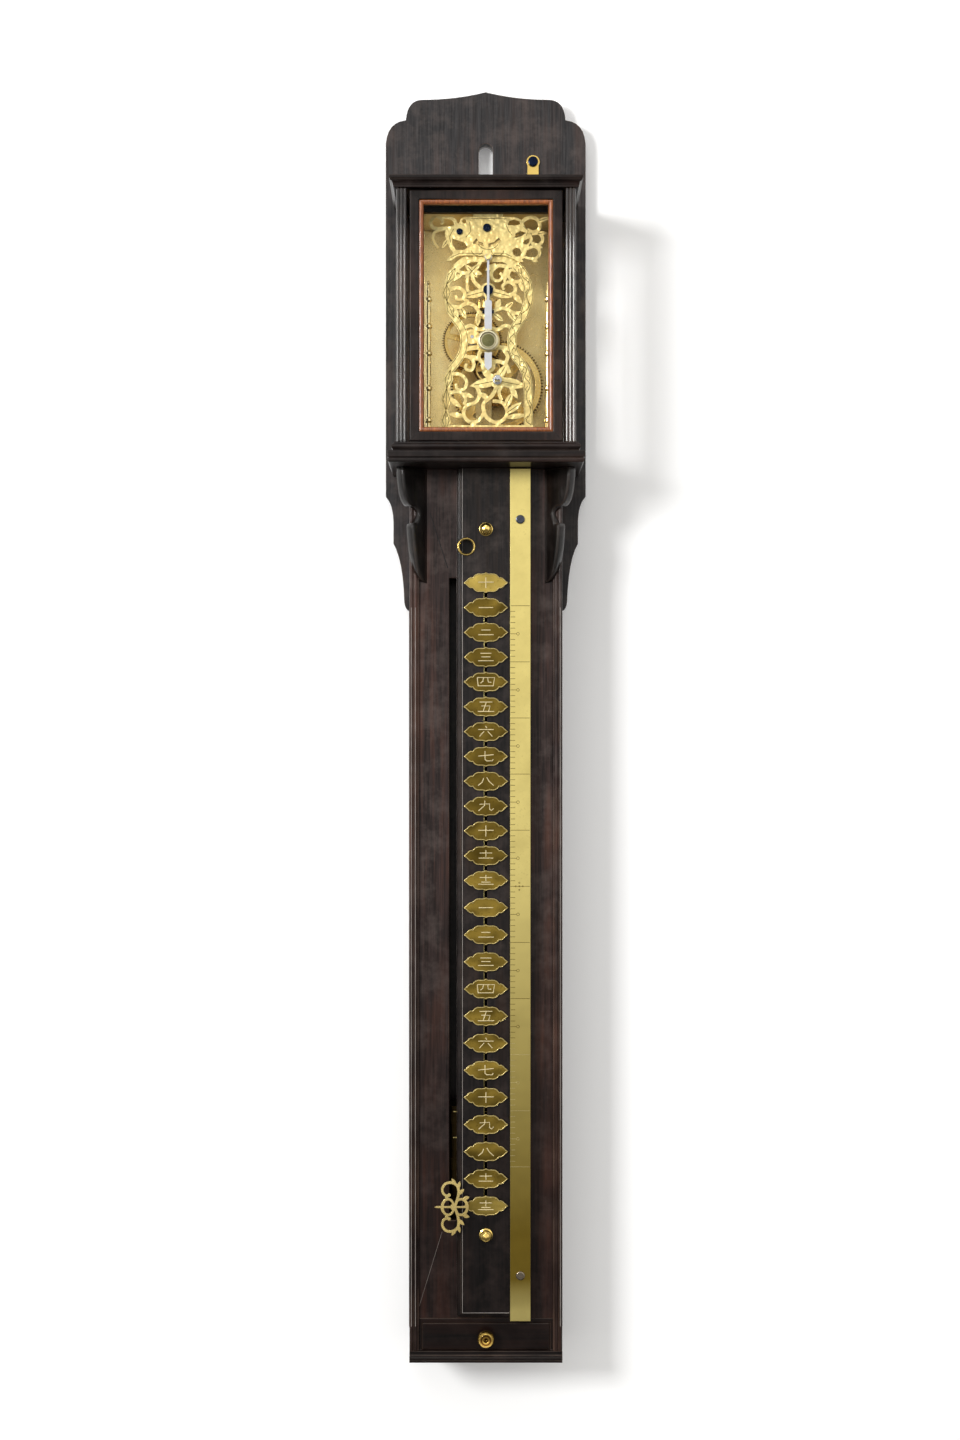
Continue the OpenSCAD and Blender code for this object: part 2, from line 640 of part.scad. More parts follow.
// Brass strap that ties the hood's top to the backboard
module hood_strap() {
    t = 1.2;
    y = -board_t - hair;
    neck = 3.1;
    color(brass) {
        difference() {
            plate(y, t) union() {
                translate([strap_x, strap_z]) circle(r = 3.7);
                polygon(concat([[strap_x - 4.2, hood_z]], curve([strap_x - 3.6, hood_z + 6],
                    [strap_x - neck, hood_z + 12],
                    [strap_x - neck, strap_z], 5), [[strap_x + neck, strap_z]],
                    curve([strap_x + neck, hood_z + 14], [strap_x + neck, hood_z + 10], [strap_x + 4.2,
                        hood_z], 5)));
            }
            rod(strap_x, strap_z, 0, y - t - 1, screw_shank + hair);
        }
        box([strap_x - 4.2, y - 14, hood_z], [strap_x + 4.2, y, hood_z + t]);
    }
}

// Drawer at the foot of the trunk
module drawer() {
    x = drawer_w / 2;
    z0 = base_z + drawer_gap;
    y1 = front_y + drawer_d;
    color(wood) difference() {
        box([-x, front_y, z0], [x, y1, z0 + drawer_h]);
        box([drawer_wall - x, front_y + drawer_front, z0 + drawer_wall], [x - drawer_wall,
            y1 - drawer_wall, z0 + 2 * drawer_h]);
        rod(0, knob_z, front_y + drawer_front + 1, front_y - 1, 1.4);
    }
}

// Turned brass knob with a dimple in its face
module drawer_knob() {
    r = knob_d / 2;
    l = knob_l;
    profile = concat([[0, -drawer_front], [1.4 - hair, -drawer_front], [1.4 - hair, 0], [r * 0.62, 0],
        [r * 0.62, l * 0.12]],
        curve([r * 0.46, l * 0.2], [r * 0.44, l * 0.45], [r * 0.9, l * 0.56], 5),
        curve([r, l * 0.62], [r * 1.02, l * 0.86], [r * 0.72, l], 5), [[r * 0.3, l * 0.96], [0.9,
            l * 0.7], [0, l * 0.7]]);
    color(brass) turned([0, front_y, knob_z], profile);
}

// Frame of the glazed front
module front_frame() {
    x = frame_x;
    color(wood) difference() {
        box([-x, frame_face, frame_z0], [x, frame_face + frame_t, frame_z1]);
        box([-glass_x, frame_face - 1, frame_z0 + frame_w], [glass_x, frame_face + frame_t + 1,
            frame_z1 - frame_w]);
    }
}

// One mitred length of bead, its outer edge along X at z = 0
module bead_strip(half) {
    w = bead_w;
    intersection() {
        across(-half, half) polygon(concat([[frame_face + 0.6 + bead_t, -w], [frame_face + 0.6 + bead_t, 0]],
            curve([frame_face + 1, 0], [frame_face + 0.2, -0.15 * w], [frame_face + 0.3, -0.5 * w], 4),
            curve([frame_face + 0.4, -0.6 * w], [frame_face + 0.5, -0.95 * w], [frame_face + 1.6, -w], 4)));
        plate(0, -frame_face + 1) polygon([[-half, 0], [half, 0], [half - w, -w], [w - half, -w]]);
    }
}

// Red bead that holds the glass in the frame
module front_bead() {
    z0 = frame_z0 + frame_w;
    z1 = frame_z1 - frame_w;
    mid = (z0 + z1) / 2;
    color(wood_red) {
        translate([0, 0, z1]) bead_strip(glass_x);
        translate([0, 0, z0]) mirror([0, 0, 1]) bead_strip(glass_x);
        pair() translate([glass_x, 0, mid]) rotate([0, 90, 0]) bead_strip((z1 - z0) / 2);
    }
}

module front_glass() {
    y = frame_face + 0.6 + bead_t + hair;
    color([0.8, 0.88, 0.9, 0.3])
        box([hair - glass_x, y, frame_z0 + frame_w + hair], [glass_x - hair, y + glass_t,
            frame_z1 - frame_w - hair]);
}

// Bottom, top and back plates of the movement, and the bar behind the escapement
module movement_plates() {
    x0 = verge_x - plates_half;
    x1 = verge_x + plates_half;
    y1 = plates_y;
    color(brass) {
        difference() {
            box([x0, fret_face, seat_z], [x1, y1, plates_z]);
            translate([cord_x, drum_mid, seat_z - 1]) cylinder(d = 4, h = bottom_plate_t + 2);
        }
        box([x0, fret_face, plates_top], [x1, y1, plates_top + sheet_t]);
        difference() {
            box([x0, y1 - sheet_t, plates_z], [x1, y1, plates_top]);
            for (p = [great, second]) rod(p.x, p.y, 0, y1 - sheet_t - 1, arbor_r + run_fit);
        }
        difference() {
            box([-5.5, bar_y - bar_t, plates_z], [verge_x + 2, bar_y, plates_top]);
            for (z = [third.y, verge_z]) rod(verge_x, z, bar_y + 1, bar_y - bar_t - 1, arbor_r + run_fit);
        }
    }
}

// Two turned pillars before the fret's ends, ringed like a baluster and ending in a finial
module pillars() {
    r = pillar_d / 2;
    rings = [0.12, 0.32, 0.54, 0.71, 0.88] * pillar_h;
    swell = [for (i = [0 : 4]) (rings[i] + (i == 0 ? 2 : rings[i - 1])) / 2];
    finial = [[0.6, 0.9], [0.85, 0.935], [0.45, 0.97], [0.7, 0.98], [0.6, 0.99], [0, 1]];
    profile = concat([[0, 0], [r * 1.5, 0], [r * 1.5, 2], [r * 0.8, 3]],
        [for (i = [0 : 4]) for (k = [[1, swell[i]], [0.75, rings[i] - 1.6], [1.3, rings[i] - 0.7],
            [1.3, rings[i] + 0.7], [0.75, rings[i] + 1.6]]) [r * k.x, k.y]],
        [for (f = finial) [r * f.x, pillar_h * f.y]]);
    color(brass) for (side = [-1, 1])
        translate([verge_x + side * (plates_half - pillar_in), fret_y + 3, plates_z])
            rotate_extrude() polygon(profile);
}

// A chain of lozenges from node to node, w0 wide at the nodes and w1 between them
module chain(p, w0, w1) {
    lap = 0.4;
    for (i = [0 : len(p) - 2]) {
        out = side_of(p[i + 1] - p[i]);
        on = [out.y, -out.x] * lap;
        mid = (p[i] + p[i + 1]) / 2;
        a = p[i] - on;
        b = p[i + 1] + on;
        linear_extrude($sheet) polygon([a + out * w0 / 2, mid + out * w1 / 2, b + out * w0 / 2,
            b - out * w0 / 2, mid - out * w1 / 2, a - out * w0 / 2]);
    }
}

// Gourd-shaped band of the pierced front plate: a plain right limb, and a left limb of lozenges above and
// below a plain waist; (0, 0) is the foot of its centre line
module fret_band() {
    tendril([[-1, 98.6], [8, 97.4], [15, 93.2], [20, 86.6], [21.9, 77.1], [19.7, 67.8], [15.9, 61.8],
        [13.2, 56.6], [12.9, 50.6], [14.6, 44.6], [18.4, 39.4], [20.8, 33.4], [21.7, 24.8], [21.7, 12],
        [21.7, 1]], 4.8, 4.8);
    tendril([[-17.6, 91.8], [-12.6, 95.8], [-7, 97.6], [1, 98.6]], 4, 4.8);
    chain([[-17.6, 91.8], [-22.4, 83], [-22.2, 73.8], [-18.4, 64.8]], 2.4, 5);
    tendril([[-18.8, 65.2], [-15.6, 61.4], [-13.2, 56.6], [-12.9, 50.6], [-14.6, 44.6], [-17.8, 40],
        [-20.6, 36.6]], 4.2, 4.2);
    chain([[-20.4, 36.8], [-22.4, 27], [-22.8, 15], [-22.8, 3]], 2.4, 5.2);
}

// Leaves and tendrils inside the upper ring of the pierced front plate
module fret_upper() {
    for (side = [-1, 1]) leaf([-1, 79.8], [13.4, 76], 4.2, side);
    tendril([[0, 77], [0, 62], [0, 46]], 3.4, 3.4);
    tendril([[14.4, 93.2], [9.8, 92.6], [5.4, 93], [1.9, 89.8], [2.4, 86], [5.6, 84.8], [7.8, 87], [6.4,
        89.2]],
        2.2, 1.4);
    tendril([[20, 87], [16.8, 84.4], [12.8, 85], [10.9, 88], [12.4, 90.8], [15, 90]], 2.2, 1.4);
    tendril([[10.8, 76.8], [14.4, 78.8], [14.2, 82.4], [10.8, 84.2], [7.8, 82.2], [8.6, 80]], 2.2, 1.4);
    leaf([8.6, 83.4], [10.6, 94.6], 3);
    leaf([4.4, 94.2], [-1.6, 90.4], 2.6);
    leaf([13, 78.6], [18.4, 72.4], 3.2);
    leaf([16.6, 84.8], [19, 79], 2.4);
    tendril([[0, 65.6], [4.2, 69.2], [9.4, 69.8], [14.4, 67.4], [19.6, 68.4]], 2.2, 1.8);
    leaf([4.4, 69], [6.4, 75.4], 3);
    leaf([8.6, 69.4], [13.6, 73.4], 2.8);
    leaf([10, 69.6], [15.4, 62.6], 3);
    leaf([2.4, 67.4], [8.2, 63], 3);
    tendril([[-17, 90.6], [-13, 89], [-8, 90.2], [-4.6, 94.4], [-4.2, 97.6]], 1.8, 2.2);
    leaf([-12.8, 86.2], [-5.2, 94], 2.8);
    leaf([-12.6, 94], [-5.6, 86.4], 2.8);
    leaf([-8.6, 90], [-3.2, 88.4], 2.6);
    tendril([[-9, 89.6], [-7.6, 84.6], [-3.4, 80.4]], 1.8, 2.2);
    tendril([[-10.6, 88.8], [-11.4, 84.4], [-10.8, 79.4], [-7.6, 78.2]], 1.5, 1.7);
    tendril([[-20.6, 80], [-16.4, 81.2], [-12.8, 78.8], [-13.4, 75.4], [-16.6, 74.8], [-17.4, 77.2]], 2.2,
        1.4);
    leaf([-21, 84.6], [-13.4, 88.6], 2.6);
    tendril([[-21, 71.4], [-16, 70.6], [-11.6, 72.6], [-7.2, 71.4], [-4.4, 67.4], [-0.6, 64.6]], 2.2, 1.9);
    leaf([-15.4, 71], [-11.8, 64.4], 3);
    leaf([-18.4, 70.8], [-16.4, 64.4], 2.8);
    leaf([-9.6, 72], [-13.6, 75.6], 2.4);
    leaf([-5.4, 68.6], [-5.6, 60.4], 3);
    tendril([[-14.4, 58.6], [-9.4, 60.8], [-5.2, 58.6], [0, 59.6], [5.2, 58.6], [9.4, 60.8], [14.4,
        58.6]], 2, 2);
}

// Leaves and tendrils between the lower limbs of the pierced front plate, round the winding square
module fret_lower() {
    tendril([[-13.6, 47.4], [-6, 49], [0, 46.6], [6, 49], [13.6, 47.4]], 2.4, 2.4);
    tendril([[-1.6, 34.6], [0.2, 39.6], [4.8, 41.4], [9.4, 39.8], [11.4, 35]], 2.2, 2.2);
    tendril([[9, 40], [10.6, 44], [8, 48]], 2, 2);
    tendril([[0.8, 40.2], [-3.4, 41.2], [-5.2, 44.4], [-3.6, 47.8]], 2, 2);
    tendril([[-13.6, 44.4], [-9.6, 43.4], [-7.6, 40], [-9.2, 36.6], [-12.2, 37.6], [-11.6, 40.2]], 2, 1.4);
    leaf([-4.4, 42], [-10.2, 44.6], 2.4);
    leaf([7, 31.6], [-10, 28], 5.2);
    leaf([3, 31.6], [21, 27.8], 5.6);
    leaf([3.6, 29.6], [9.8, 39.8], 4.4);
    leaf([6, 30], [-3.4, 36], 3.8);
    tendril([[5, 28.6], [2.2, 23], [-2.4, 18.8], [-1.6, 12.4], [3.2, 8.6], [8.4, 10], [10.2, 14.8],
        [7.6, 19.2], [2.4, 20]], 2.2, 1.8);
    tendril([[8.4, 29.2], [5.8, 25], [7.4, 20.4]], 1.8, 1.8);
    tendril([[-6.6, 28.6], [-4.6, 23.6], [-7, 19.2], [-11.8, 17.4], [-13.2, 12.8], [-10.4, 9], [-6, 9],
        [-3.2, 12], [-1.8, 15.6]], 2, 1.8);
    leaf([-4.8, 24.6], [0.6, 21], 2.8);
    leaf([8.8, 15.6], [13, 24.4], 3.6);
    leaf([9.2, 13], [18, 19.2], 3.4);
    leaf([9, 11], [20.6, 12.6], 3);
    leaf([11.4, 28.6], [16, 21.2], 3);
    leaf([-12.4, 11.8], [-21.4, 13], 3);
    tendril([[-20.4, 34.6], [-15, 34.4], [-11.6, 30.6], [-13, 26.4], [-16.6, 26.4], [-17.4, 29.4]], 2, 1.4);
    tendril([[-22, 24.2], [-16, 25], [-12.2, 21.8], [-13, 18]], 1.8, 1.6);
    leaf([-14, 24.4], [-7.6, 22], 2.4);
    leaf([-21.6, 22.4], [-14.4, 16.4], 3);
    for (x = [-8, 5.4]) linear_extrude($sheet)
        polygon([[x - 1.6, 0], [x + 1.6, 0], [x + 1.6, 9.4], [x - 1.6, 9.4]]);
}

// Pierced front plate with its bushes and the potence of the crown wheel
module front_fret() {
    local = [verge_x, plates_z];
    holes = [great - local, second - local, third - local, [0, verge_h]];
    hole_r = 2.5;
    $sheet = fret_t;
    color(brass) {
        translate([verge_x, fret_y, plates_z]) rotate([90, 0, 0]) {
            difference() {
                union() {
                    fret_band();
                    fret_upper();
                    fret_lower();
                    linear_extrude(fret_t) polygon(both([[8, plates_h], [8, 103], [10, 95]]));
                    linear_extrude(fret_t) polygon(both([[23.6, 7], [23.6, 0]]));
                    for (p = holes) translate([p.x, p.y, 0]) cylinder(r = 4, h = fret_t);
                }
                for (p = holes) translate([p.x, p.y, -1]) cylinder(r = hole_r, h = fret_t + 2);
            }
            for (p = holes) translate([p.x, p.y, 0]) rotate_extrude() polygon([[arbor_r + run_fit, 0],
                [hole_r - hair, 0], [hole_r - hair, fret_t], [arbor_r + run_fit, fret_t]]);
        }
        difference() {
            union() {
                box([verge_x - 1.5, fret_y - 0.5, verge_z - 20], [verge_x + 1.5, crown_y - 1, verge_z - 12]);
                translate([verge_x, crown_y, verge_z - 20]) cylinder(r = 2.2, h = 8);
            }
            translate([verge_x, crown_y, verge_z - 21]) cylinder(r = crown_arbor_r + run_fit, h = 10);
        }
    }
}

// Scrolls and leaves at the ends of the cock; (0, 0) is the pendulum's pivot
module cock_scrolls() {
    tendril(hung([[-21.6, 16], [-26, 15.7], [-29.4, 16.2], [-31, 18.6], [-30, 21.2], [-27.4, 22], [-25, 20.8],
        [-24.4, 18.8], [-25.6, 18]]), 2, 1.2);
    tendril(hung([[-17, 17.4], [-18.4, 20.4], [-21, 21.5], [-24.8, 21.4]]), 2, 1.2);
    tendril(hung([[-21.6, 15.6], [-25.4, 15.2], [-28.6, 13.8], [-29.8, 10.8], [-28.6, 7.6],
        [-26.8, 5.2]]), 2, 1.2);
    tendril(hung([[17.4, 18.4], [20.4, 21], [24, 21.7], [27, 20], [27.9, 17], [26.6, 14.6], [23.6, 14],
        [21, 15.2]]), 2, 1.8);
    tendril(hung([[23.2, 8], [26.6, 6.8], [29.2, 8.8], [29, 11.6], [26.8, 13.2], [23.4, 12.8]]), 1.8, 1.6);
    tendril(hung([[20.4, 4.6], [24.4, 6], [27.4, 4.4], [27.6, 1.6], [25.4, -0.4], [22.4, -0.4], [19, 0.6]]),
        1.8, 1.4);
    for (l = [[[26.2, 19.4], [33.2, 21.8]], [[26, 13], [31.4, 13.4]], [[24.2, 5.8], [29.4, 5.4]],
        [[22.8, 0], [27, -2.4]], [[-21.4, 10.4], [-25, 4.8]], [[-16.4, 2], [-22.4, -1.8]],
        [[13, 0.6], [19, -2.2]]])
        leaf(hung(l)[0], hung(l)[1], 2.4);
}
cock_edge = [[-10.8, 22], [-4, 22], [4, 22], [12, 22], [16, 21.4], [18.8, 19.2], [20, 16.4], [22.6, 13.4],
    [24, 9.8], [22, 6.6], [20.6, 3], [18.8, -0.6], [14, -0.8], [9.4, 1], [4.6, 1.4], [0, 1.2], [-5, 1],
    [-10, 1.2], [-15, 1], [-20, -0.4], [-19, 2.6], [-20.8, 5.4], [-22.6, 9.4], [-23.2, 13.4], [-21.6, 16.6],
    [-18.6, 17.4], [-15.8, 18.6], [-14.8, 20.8], [-12.8, 21.8], [-10.8, 22]];
cock_holes = [[[10.6, 17.6], [11.2, 19.8], [14, 20.6], [16.8, 19.6], [17.4, 18], [14.6, 17.4]],
    [[14.4, 10.6], [14.8, 13], [17.4, 14.4], [20.4, 13.4], [18, 11.6]],
    [[18.6, 7.8], [19.6, 9.4], [22.4, 10.4], [22.2, 8.2], [20.6, 7]],
    [[13, 4], [14.6, 5.4], [17, 4.8], [18.2, 2.6], [17.2, 0.8], [15.2, 0.6], [13.4, 1.8]],
    [[-8.2, 8.2], [-6.2, 10.4], [-5, 8.8], [-2.8, 8], [-2.4, 6.2], [-5, 7], [-8, 7.4]],
    [[0.2, 7.6], [3.2, 8.4], [5.6, 10.8], [7, 9.2], [5.6, 7.4], [2.4, 5.8], [0.2, 5.8]],
    [[-19.4, 10.4], [-16.6, 9.4], [-12.6, 8], [-11, 5.6], [-13, 4.2], [-17.2, 4], [-19.2, 7]],
    arc([-12.8, 19.6], 1.2, 0, 315, 7)];

// Scrolled cock before the fret, with the pin that the pendulum hangs on
module front_cock() {
    $sheet = cock_t - hair;
    color(brass) {
        translate([verge_x, fret_face - hair, plates_z]) rotate([90, 0, 0]) difference() {
            union() {
                linear_extrude($sheet) polygon(smooth(hung(cock_edge)));
                cock_scrolls();
                translate([0, pivot_h, 0]) cylinder(r = 2.4, h = $sheet);
            }
            translate([0, 0, -1]) {
                for (h = cock_holes) linear_extrude(5) polygon(hung(h));
                for (p = cock_screws) translate(p) cylinder(r = screw_shank + hair, h = 5);
            }
        }
        rod(verge_x, pivot_z, cock_face + 0.5, cock_face - 3.4, 0.8);
        rod(verge_x, pivot_z, cock_face - 2.8, cock_face - 3.4, 1.5);
    }
}

// A wheel cut from sheet: teeth round the rim and windows between four arms
module wheel(z, m, hub, rim, arm) {
    r = m * z / 2 - rim;
    difference() {
        polygon(gear(z, m, 0.75, 1.3, 0.46, 0.18));
        for (q = [0 : 3]) rotate(90 * q + 45) {
            a = asin(arm / 2 / r);
            b = asin(arm / 2 / hub);
            polygon(concat(arc([0, 0], r, a, 90 - a, 8), arc([0, 0], hub, 90 - b, b, 3)));
        }
        circle(r = arbor_r + 0.06, $fn = 12);
    }
}
module pinion(z, m, turn) {
    difference() {
        polygon(gear(z, m, 0.5, 1.15, 0.4, 0.28, turn));
        circle(r = arbor_r + 0.06, $fn = 12);
    }
}

// Winding arbor with the cord drum, its ratchet and the square for the key
module drum() {
    r = drum_d / 2;
    lip = r + 2.6;
    x = great.x;
    z = great.y;
    color(steel) {
        rod(x, z, plates_y, drum_y1 + 1, arbor_r);
        rod(x, z, drum_y1 + 1, wheel_y - 3, 1.5);
        rod(x, z, wheel_y - 3, fret_face - 1, arbor_r);
        rod(x, z, fret_face - 0.4, fret_face - 1.8, 2.4);
        intersection() {
            box([x - 1.5, fret_face - 10, z - 1.5], [x + 1.5, fret_face - 1.7, z + 1.5]);
            turned([x, fret_face, z], [[0, 1], [2.2, 1], [2.2, 8.6], [1.2, 10], [0, 10]]);
        }
    }
    color(brass) {
        turned([x, drum_y1, z], [[1.4, 0], [lip, 0], [lip, 1], [r, 1], [r, 11], [lip, 11], [lip, 12],
            [1.4, 12]]);
        translate([x, drum_y1 - 11.9, z]) rotate([90, 0, 0]) linear_extrude(1.1) polygon([for (i = [0 : 23])
            for (k = [0, 1]) (k == 0 ? r + 1.2 : lip - 0.25) * [cos(15 * i + 2 * k), sin(15 * i + 2 * k)]]);
        for (i = [2 : 4]) translate([x, drum_mid + 1.1 * i * cord_d, z]) rotate([90, 0, 0])
            rotate_extrude() translate([r + cord_d * 0.3, 0]) circle(d = cord_d);
    }
}

// Great wheel, loose on the winding arbor, with the click that the ratchet works against
module great_wheel() {
    tip = drum_d / 2 + 2.9;
    color(brass) translate([great.x, wheel_y, great.y]) rotate([90, 0, 0]) linear_extrude(2) difference() {
        wheel(great_z, great_m, 6, 4, 4);
        circle(r = 1.65, $fn = 12);
    }
    color(steel) translate([great.x, wheel_y + 1.4, great.y]) rotate([90, 0, 0]) linear_extrude(1.4) polygon(
        [[tip + 0.2, -0.6], [tip + 3.6, 1], [tip + 6.6, 8], [tip + 11, 9.4], [tip + 11, 13], [tip + 3.6, 9.4],
            [tip, 0.6]]);
}

// Second arbor with its pinion and wheel
module second_wheel() {
    color(brass) translate([second.x, second_y, second.y]) rotate([90, 0, 0]) linear_extrude(1.5)
        rotate(second_turn) wheel(second_z, second_m, 4, 2.6, 3);
    color(steel) {
        translate([second.x, wheel_y + 1, second.y]) rotate([90, 0, 0]) linear_extrude(3.6)
            pinion(leaves, great_m, second_pinion_turn);
        rod(second.x, second.y, plates_y, fret_face, arbor_r);
    }
}

// Third arbor with its pinion and the contrate wheel that drives the crown wheel
module third_wheel() {
    disc_y = second_y - 2.8;
    disc_t = 1;
    tooth_l = disc_y - disc_t - (crown_y + crown_pitch_r - 0.3);
    color(brass) translate([third.x, disc_y, third.y]) rotate([90, 0, 0]) {
        linear_extrude(disc_t) difference() {
            polygon(arc([0, 0], contrate_r + 0.4, 0, 360 - 360 / contrate_z, contrate_z - 1));
            for (q = [0 : 3]) rotate(90 * q) polygon(concat(arc([0, 0], contrate_r - 1.7, 12, 78, 6),
                arc([0, 0], 2.8, 66, 24, 3)));
            circle(r = arbor_r + 0.06, $fn = 12);
        }
        for (i = [0 : contrate_z - 1]) rotate(90 + 360 / contrate_z * i) translate([contrate_r - 0.4, 0,
            disc_t - 0.2])
            rotate([90, 0, 90]) linear_extrude(0.8)
                polygon([[-0.24, 0], [0.24, 0], [0.1, tooth_l + 0.2], [-0.1, tooth_l + 0.2]]);
    }
    color(steel) {
        translate([third.x, second_y + 0.5, third.y]) rotate([90, 0, 0]) linear_extrude(2.8)
            pinion(leaves, second_m, third_turn);
        rod(third.x, third.y, bar_y, fret_face, arbor_r);
    }
}

// Crown wheel on its upright arbor, teeth up, with the pinion at the foot
module crown_wheel() {
    pitch = 360 / crown_z;
    wide = crown_r * sin(pitch / 2);
    rim = crown_tall - 2.6;
    foot = third.y + contrate_r - 2.3;
    translate([verge_x, crown_y, 0]) {
        color(brass) translate([0, 0, crown_top - crown_tall]) {
            linear_extrude(rim) difference() {
                polygon(arc([0, 0], crown_r, pitch / 2, 360 - pitch / 2, crown_z - 1));
                polygon(arc([0, 0], crown_r - 0.8, pitch / 2, 360 - pitch / 2, crown_z - 1));
            }
            linear_extrude(0.9) difference() {
                polygon(arc([0, 0], crown_r - 0.4, pitch / 2, 360 - pitch / 2, crown_z - 1));
                circle(r = crown_arbor_r + 0.06, $fn = 12);
            }
            for (i = [0 : crown_z - 1]) rotate(pitch * i) translate([crown_r - 0.8, 0, rim - 0.3])
                rotate([90, 0, 90])
                linear_extrude(0.7) polygon([[-wide, 0], [wide, 0], [-wide * 0.5, crown_tall - rim + 0.3],
                    [-wide * 0.8, crown_tall - rim + 0.3]]);
        }
        color(steel) {
            translate([0, 0, foot]) linear_extrude(4.6) difference() {
                polygon([for (i = [0 : crown_leaves - 1]) for (k = [0 : 3])
                    (k == 0 || k == 3 ? 0.95 : crown_pitch_r + 0.25) * [cos(120 + 60 * i + [-14, -6.3,
                        6.3, 14][k]),
                        sin(120 + 60 * i + [-14, -6.3, 6.3, 14][k])]]);
                circle(r = crown_arbor_r + 0.06, $fn = 12);
            }
            translate([0, 0, foot - 0.6]) cylinder(r = crown_arbor_r,
                h = crown_top - crown_tall + 1.4 - foot + 0.6);
        }
    }
}

// Verge with its two pallets, and the crutch that leads the pendulum
module verge() {
    fork = rod_w / 2 + 0.8;
    color(steel) {
        rod(verge_x, verge_z, bar_y, fret_face - 0.2, arbor_r);
        for (side = [-1, 1]) translate([verge_x, crown_y + side * crown_r + 0.9, verge_z]) rotate([90, 0, 0])
            linear_extrude(1.8) rotate(270 - side * 50) translate([0.4, -0.3]) square([3.4, 0.6]);
    }
    color(blued) {
        rod(verge_x, verge_z, fret_face - 0.15, fret_face - 1.4, 2.7);
        plate(fret_face - 0.6, 0.8) translate([verge_x, verge_z]) {
            polygon([[-0.8, 0], [0.8, 0], [0.8, -crutch_l], [-0.8, -crutch_l]]);
            translate([0, -crutch_l]) square([2 * fork + 0.9, 1.6], center = true);
        }
        for (side = [-1, 1]) rod(verge_x + side * fork, verge_z - crutch_l, fret_face - 1,
            fret_face - 3.8, 0.45);
    }
}

// Pendulum: an eye on the cock's pin, a thin spring, a flat bar and the bob
module pendulum() {
    y = cock_face - 0.6;
    t = 1;
    top = pivot_z - 23;
    r = bob_d / 2;
    color(steel) difference() {
        plate(y, t) translate([verge_x, 0]) {
            translate([0, pivot_z]) circle(r = 1.9);
            polygon([[-0.6, pivot_z], [0.6, pivot_z], [0.7, top], [rod_w / 2, top - 0.8], [rod_w / 2,
                pivot_z - bob_drop - 14],
                [0, pivot_z - bob_drop - 16], [-rod_w / 2, pivot_z - bob_drop - 14], [-rod_w / 2,
                    top - 0.8], [-0.7, top]]);
        }
        rod(verge_x, pivot_z, y + 1, y - t - 1, 0.8 + run_fit);
    }
    color(brass) turned([verge_x, fret_face - 0.7, pivot_z - bob_drop], concat([[0, 0.3], [r * 0.7, 0]],
        curve([r * 0.8, 0], [r * 1.06, 0.4], [r, 2], 4), curve([r, 2], [r, 4.4], [r * 0.72, 4.4], 5),
        [[r * 0.6, 3.8], [0, 4.1]]));
}

// Weight with its brass bands, the ring for the cord and the stem that carries the pointer
module weight() {
    x = weight_w / 2;
    c = 3;
    shape = concat(arc([x - c, weight_d - c], c, 0, 90, 4), arc([c - x, weight_d - c], c, 90, 180, 4),
        arc([c - x, c], c, 180, 270, 4), arc([x - c, c], c, 270, 360, 4));
    color(brass) translate([cord_x, weight_y, 0]) {
        translate([0, 0, weight_z0]) linear_extrude(weight_h) polygon(shape);
        for (z = [weight_z0 + 1.5, weight_z1 - 9.5, weight_z0 + weight_h / 2 - 3]) translate([0,
            weight_d / 2, z])
            linear_extrude(6) scale([1 + 1.2 / weight_w, 1 + 1.2 / weight_d]) translate([0,
                -weight_d / 2]) polygon(shape);
        translate([0, weight_d / 2, weight_z1 + 1.8]) rotate([90, 0, 0]) rotate_extrude() translate([2,
            0]) circle(r = 0.6);
    }
    color(brass) box([stem_x - stem_w / 2, pointer_y, hour_z0 - stem_half], [stem_x + stem_w / 2,
        weight_y + 1, hour_z0 + stem_half]);
}

// Scroll and leaves of the pointer's upper half, or with flip -1 of its lower half
module pointer_half(flip) {
    tendril([for (q = [[0, 0], [1.2, 3], [2.1, 6.4], [2.2, 9.4], [1, 12], [-2, 13.2], [-5, 12.4], [-6.6, 9.6],
        [-5.8, 7], [-3.8, 6], [-2.6, 6.6]]) [q.x, flip * q.y]], 1.5, 1.2);
    leaf([1, 11.6 * flip], [-1.6, 15.4 * flip], 1.8);
    leaf([1.7, 9.4 * flip], [3, 13.9 * flip], 1.8);
    leaf([1.6, 6.4 * flip], [5.3, 9.7 * flip], 2);
    leaf([4.2, 4.3 * flip], [8.1, 5.4 * flip], 2);
    translate([-2.9, 6.4 * flip, 0]) cylinder(r = 0.9, h = $sheet);
    translate([-4.2, 5.3 * flip, 0]) cylinder(r = 0.9, h = $sheet);
}

// One ring of the pointer, an oval of half width rx, with its inner edge shifted sideways to thin one limb
module pointer_ring(x, rx, shift) {
    ry = 4.9;
    rim = 1.25;
    around = arc([0, 0], 1, 0, 345, 23);
    translate([x, 0, 0]) difference() {
        linear_extrude($sheet) polygon([for (p = around) [p.x * rx, p.y * ry]]);
        translate([shift, 0, -1]) linear_extrude($sheet + 2)
            polygon([for (p = around) [p.x * (rx - rim), p.y * (ry - rim)]]);
    }
}

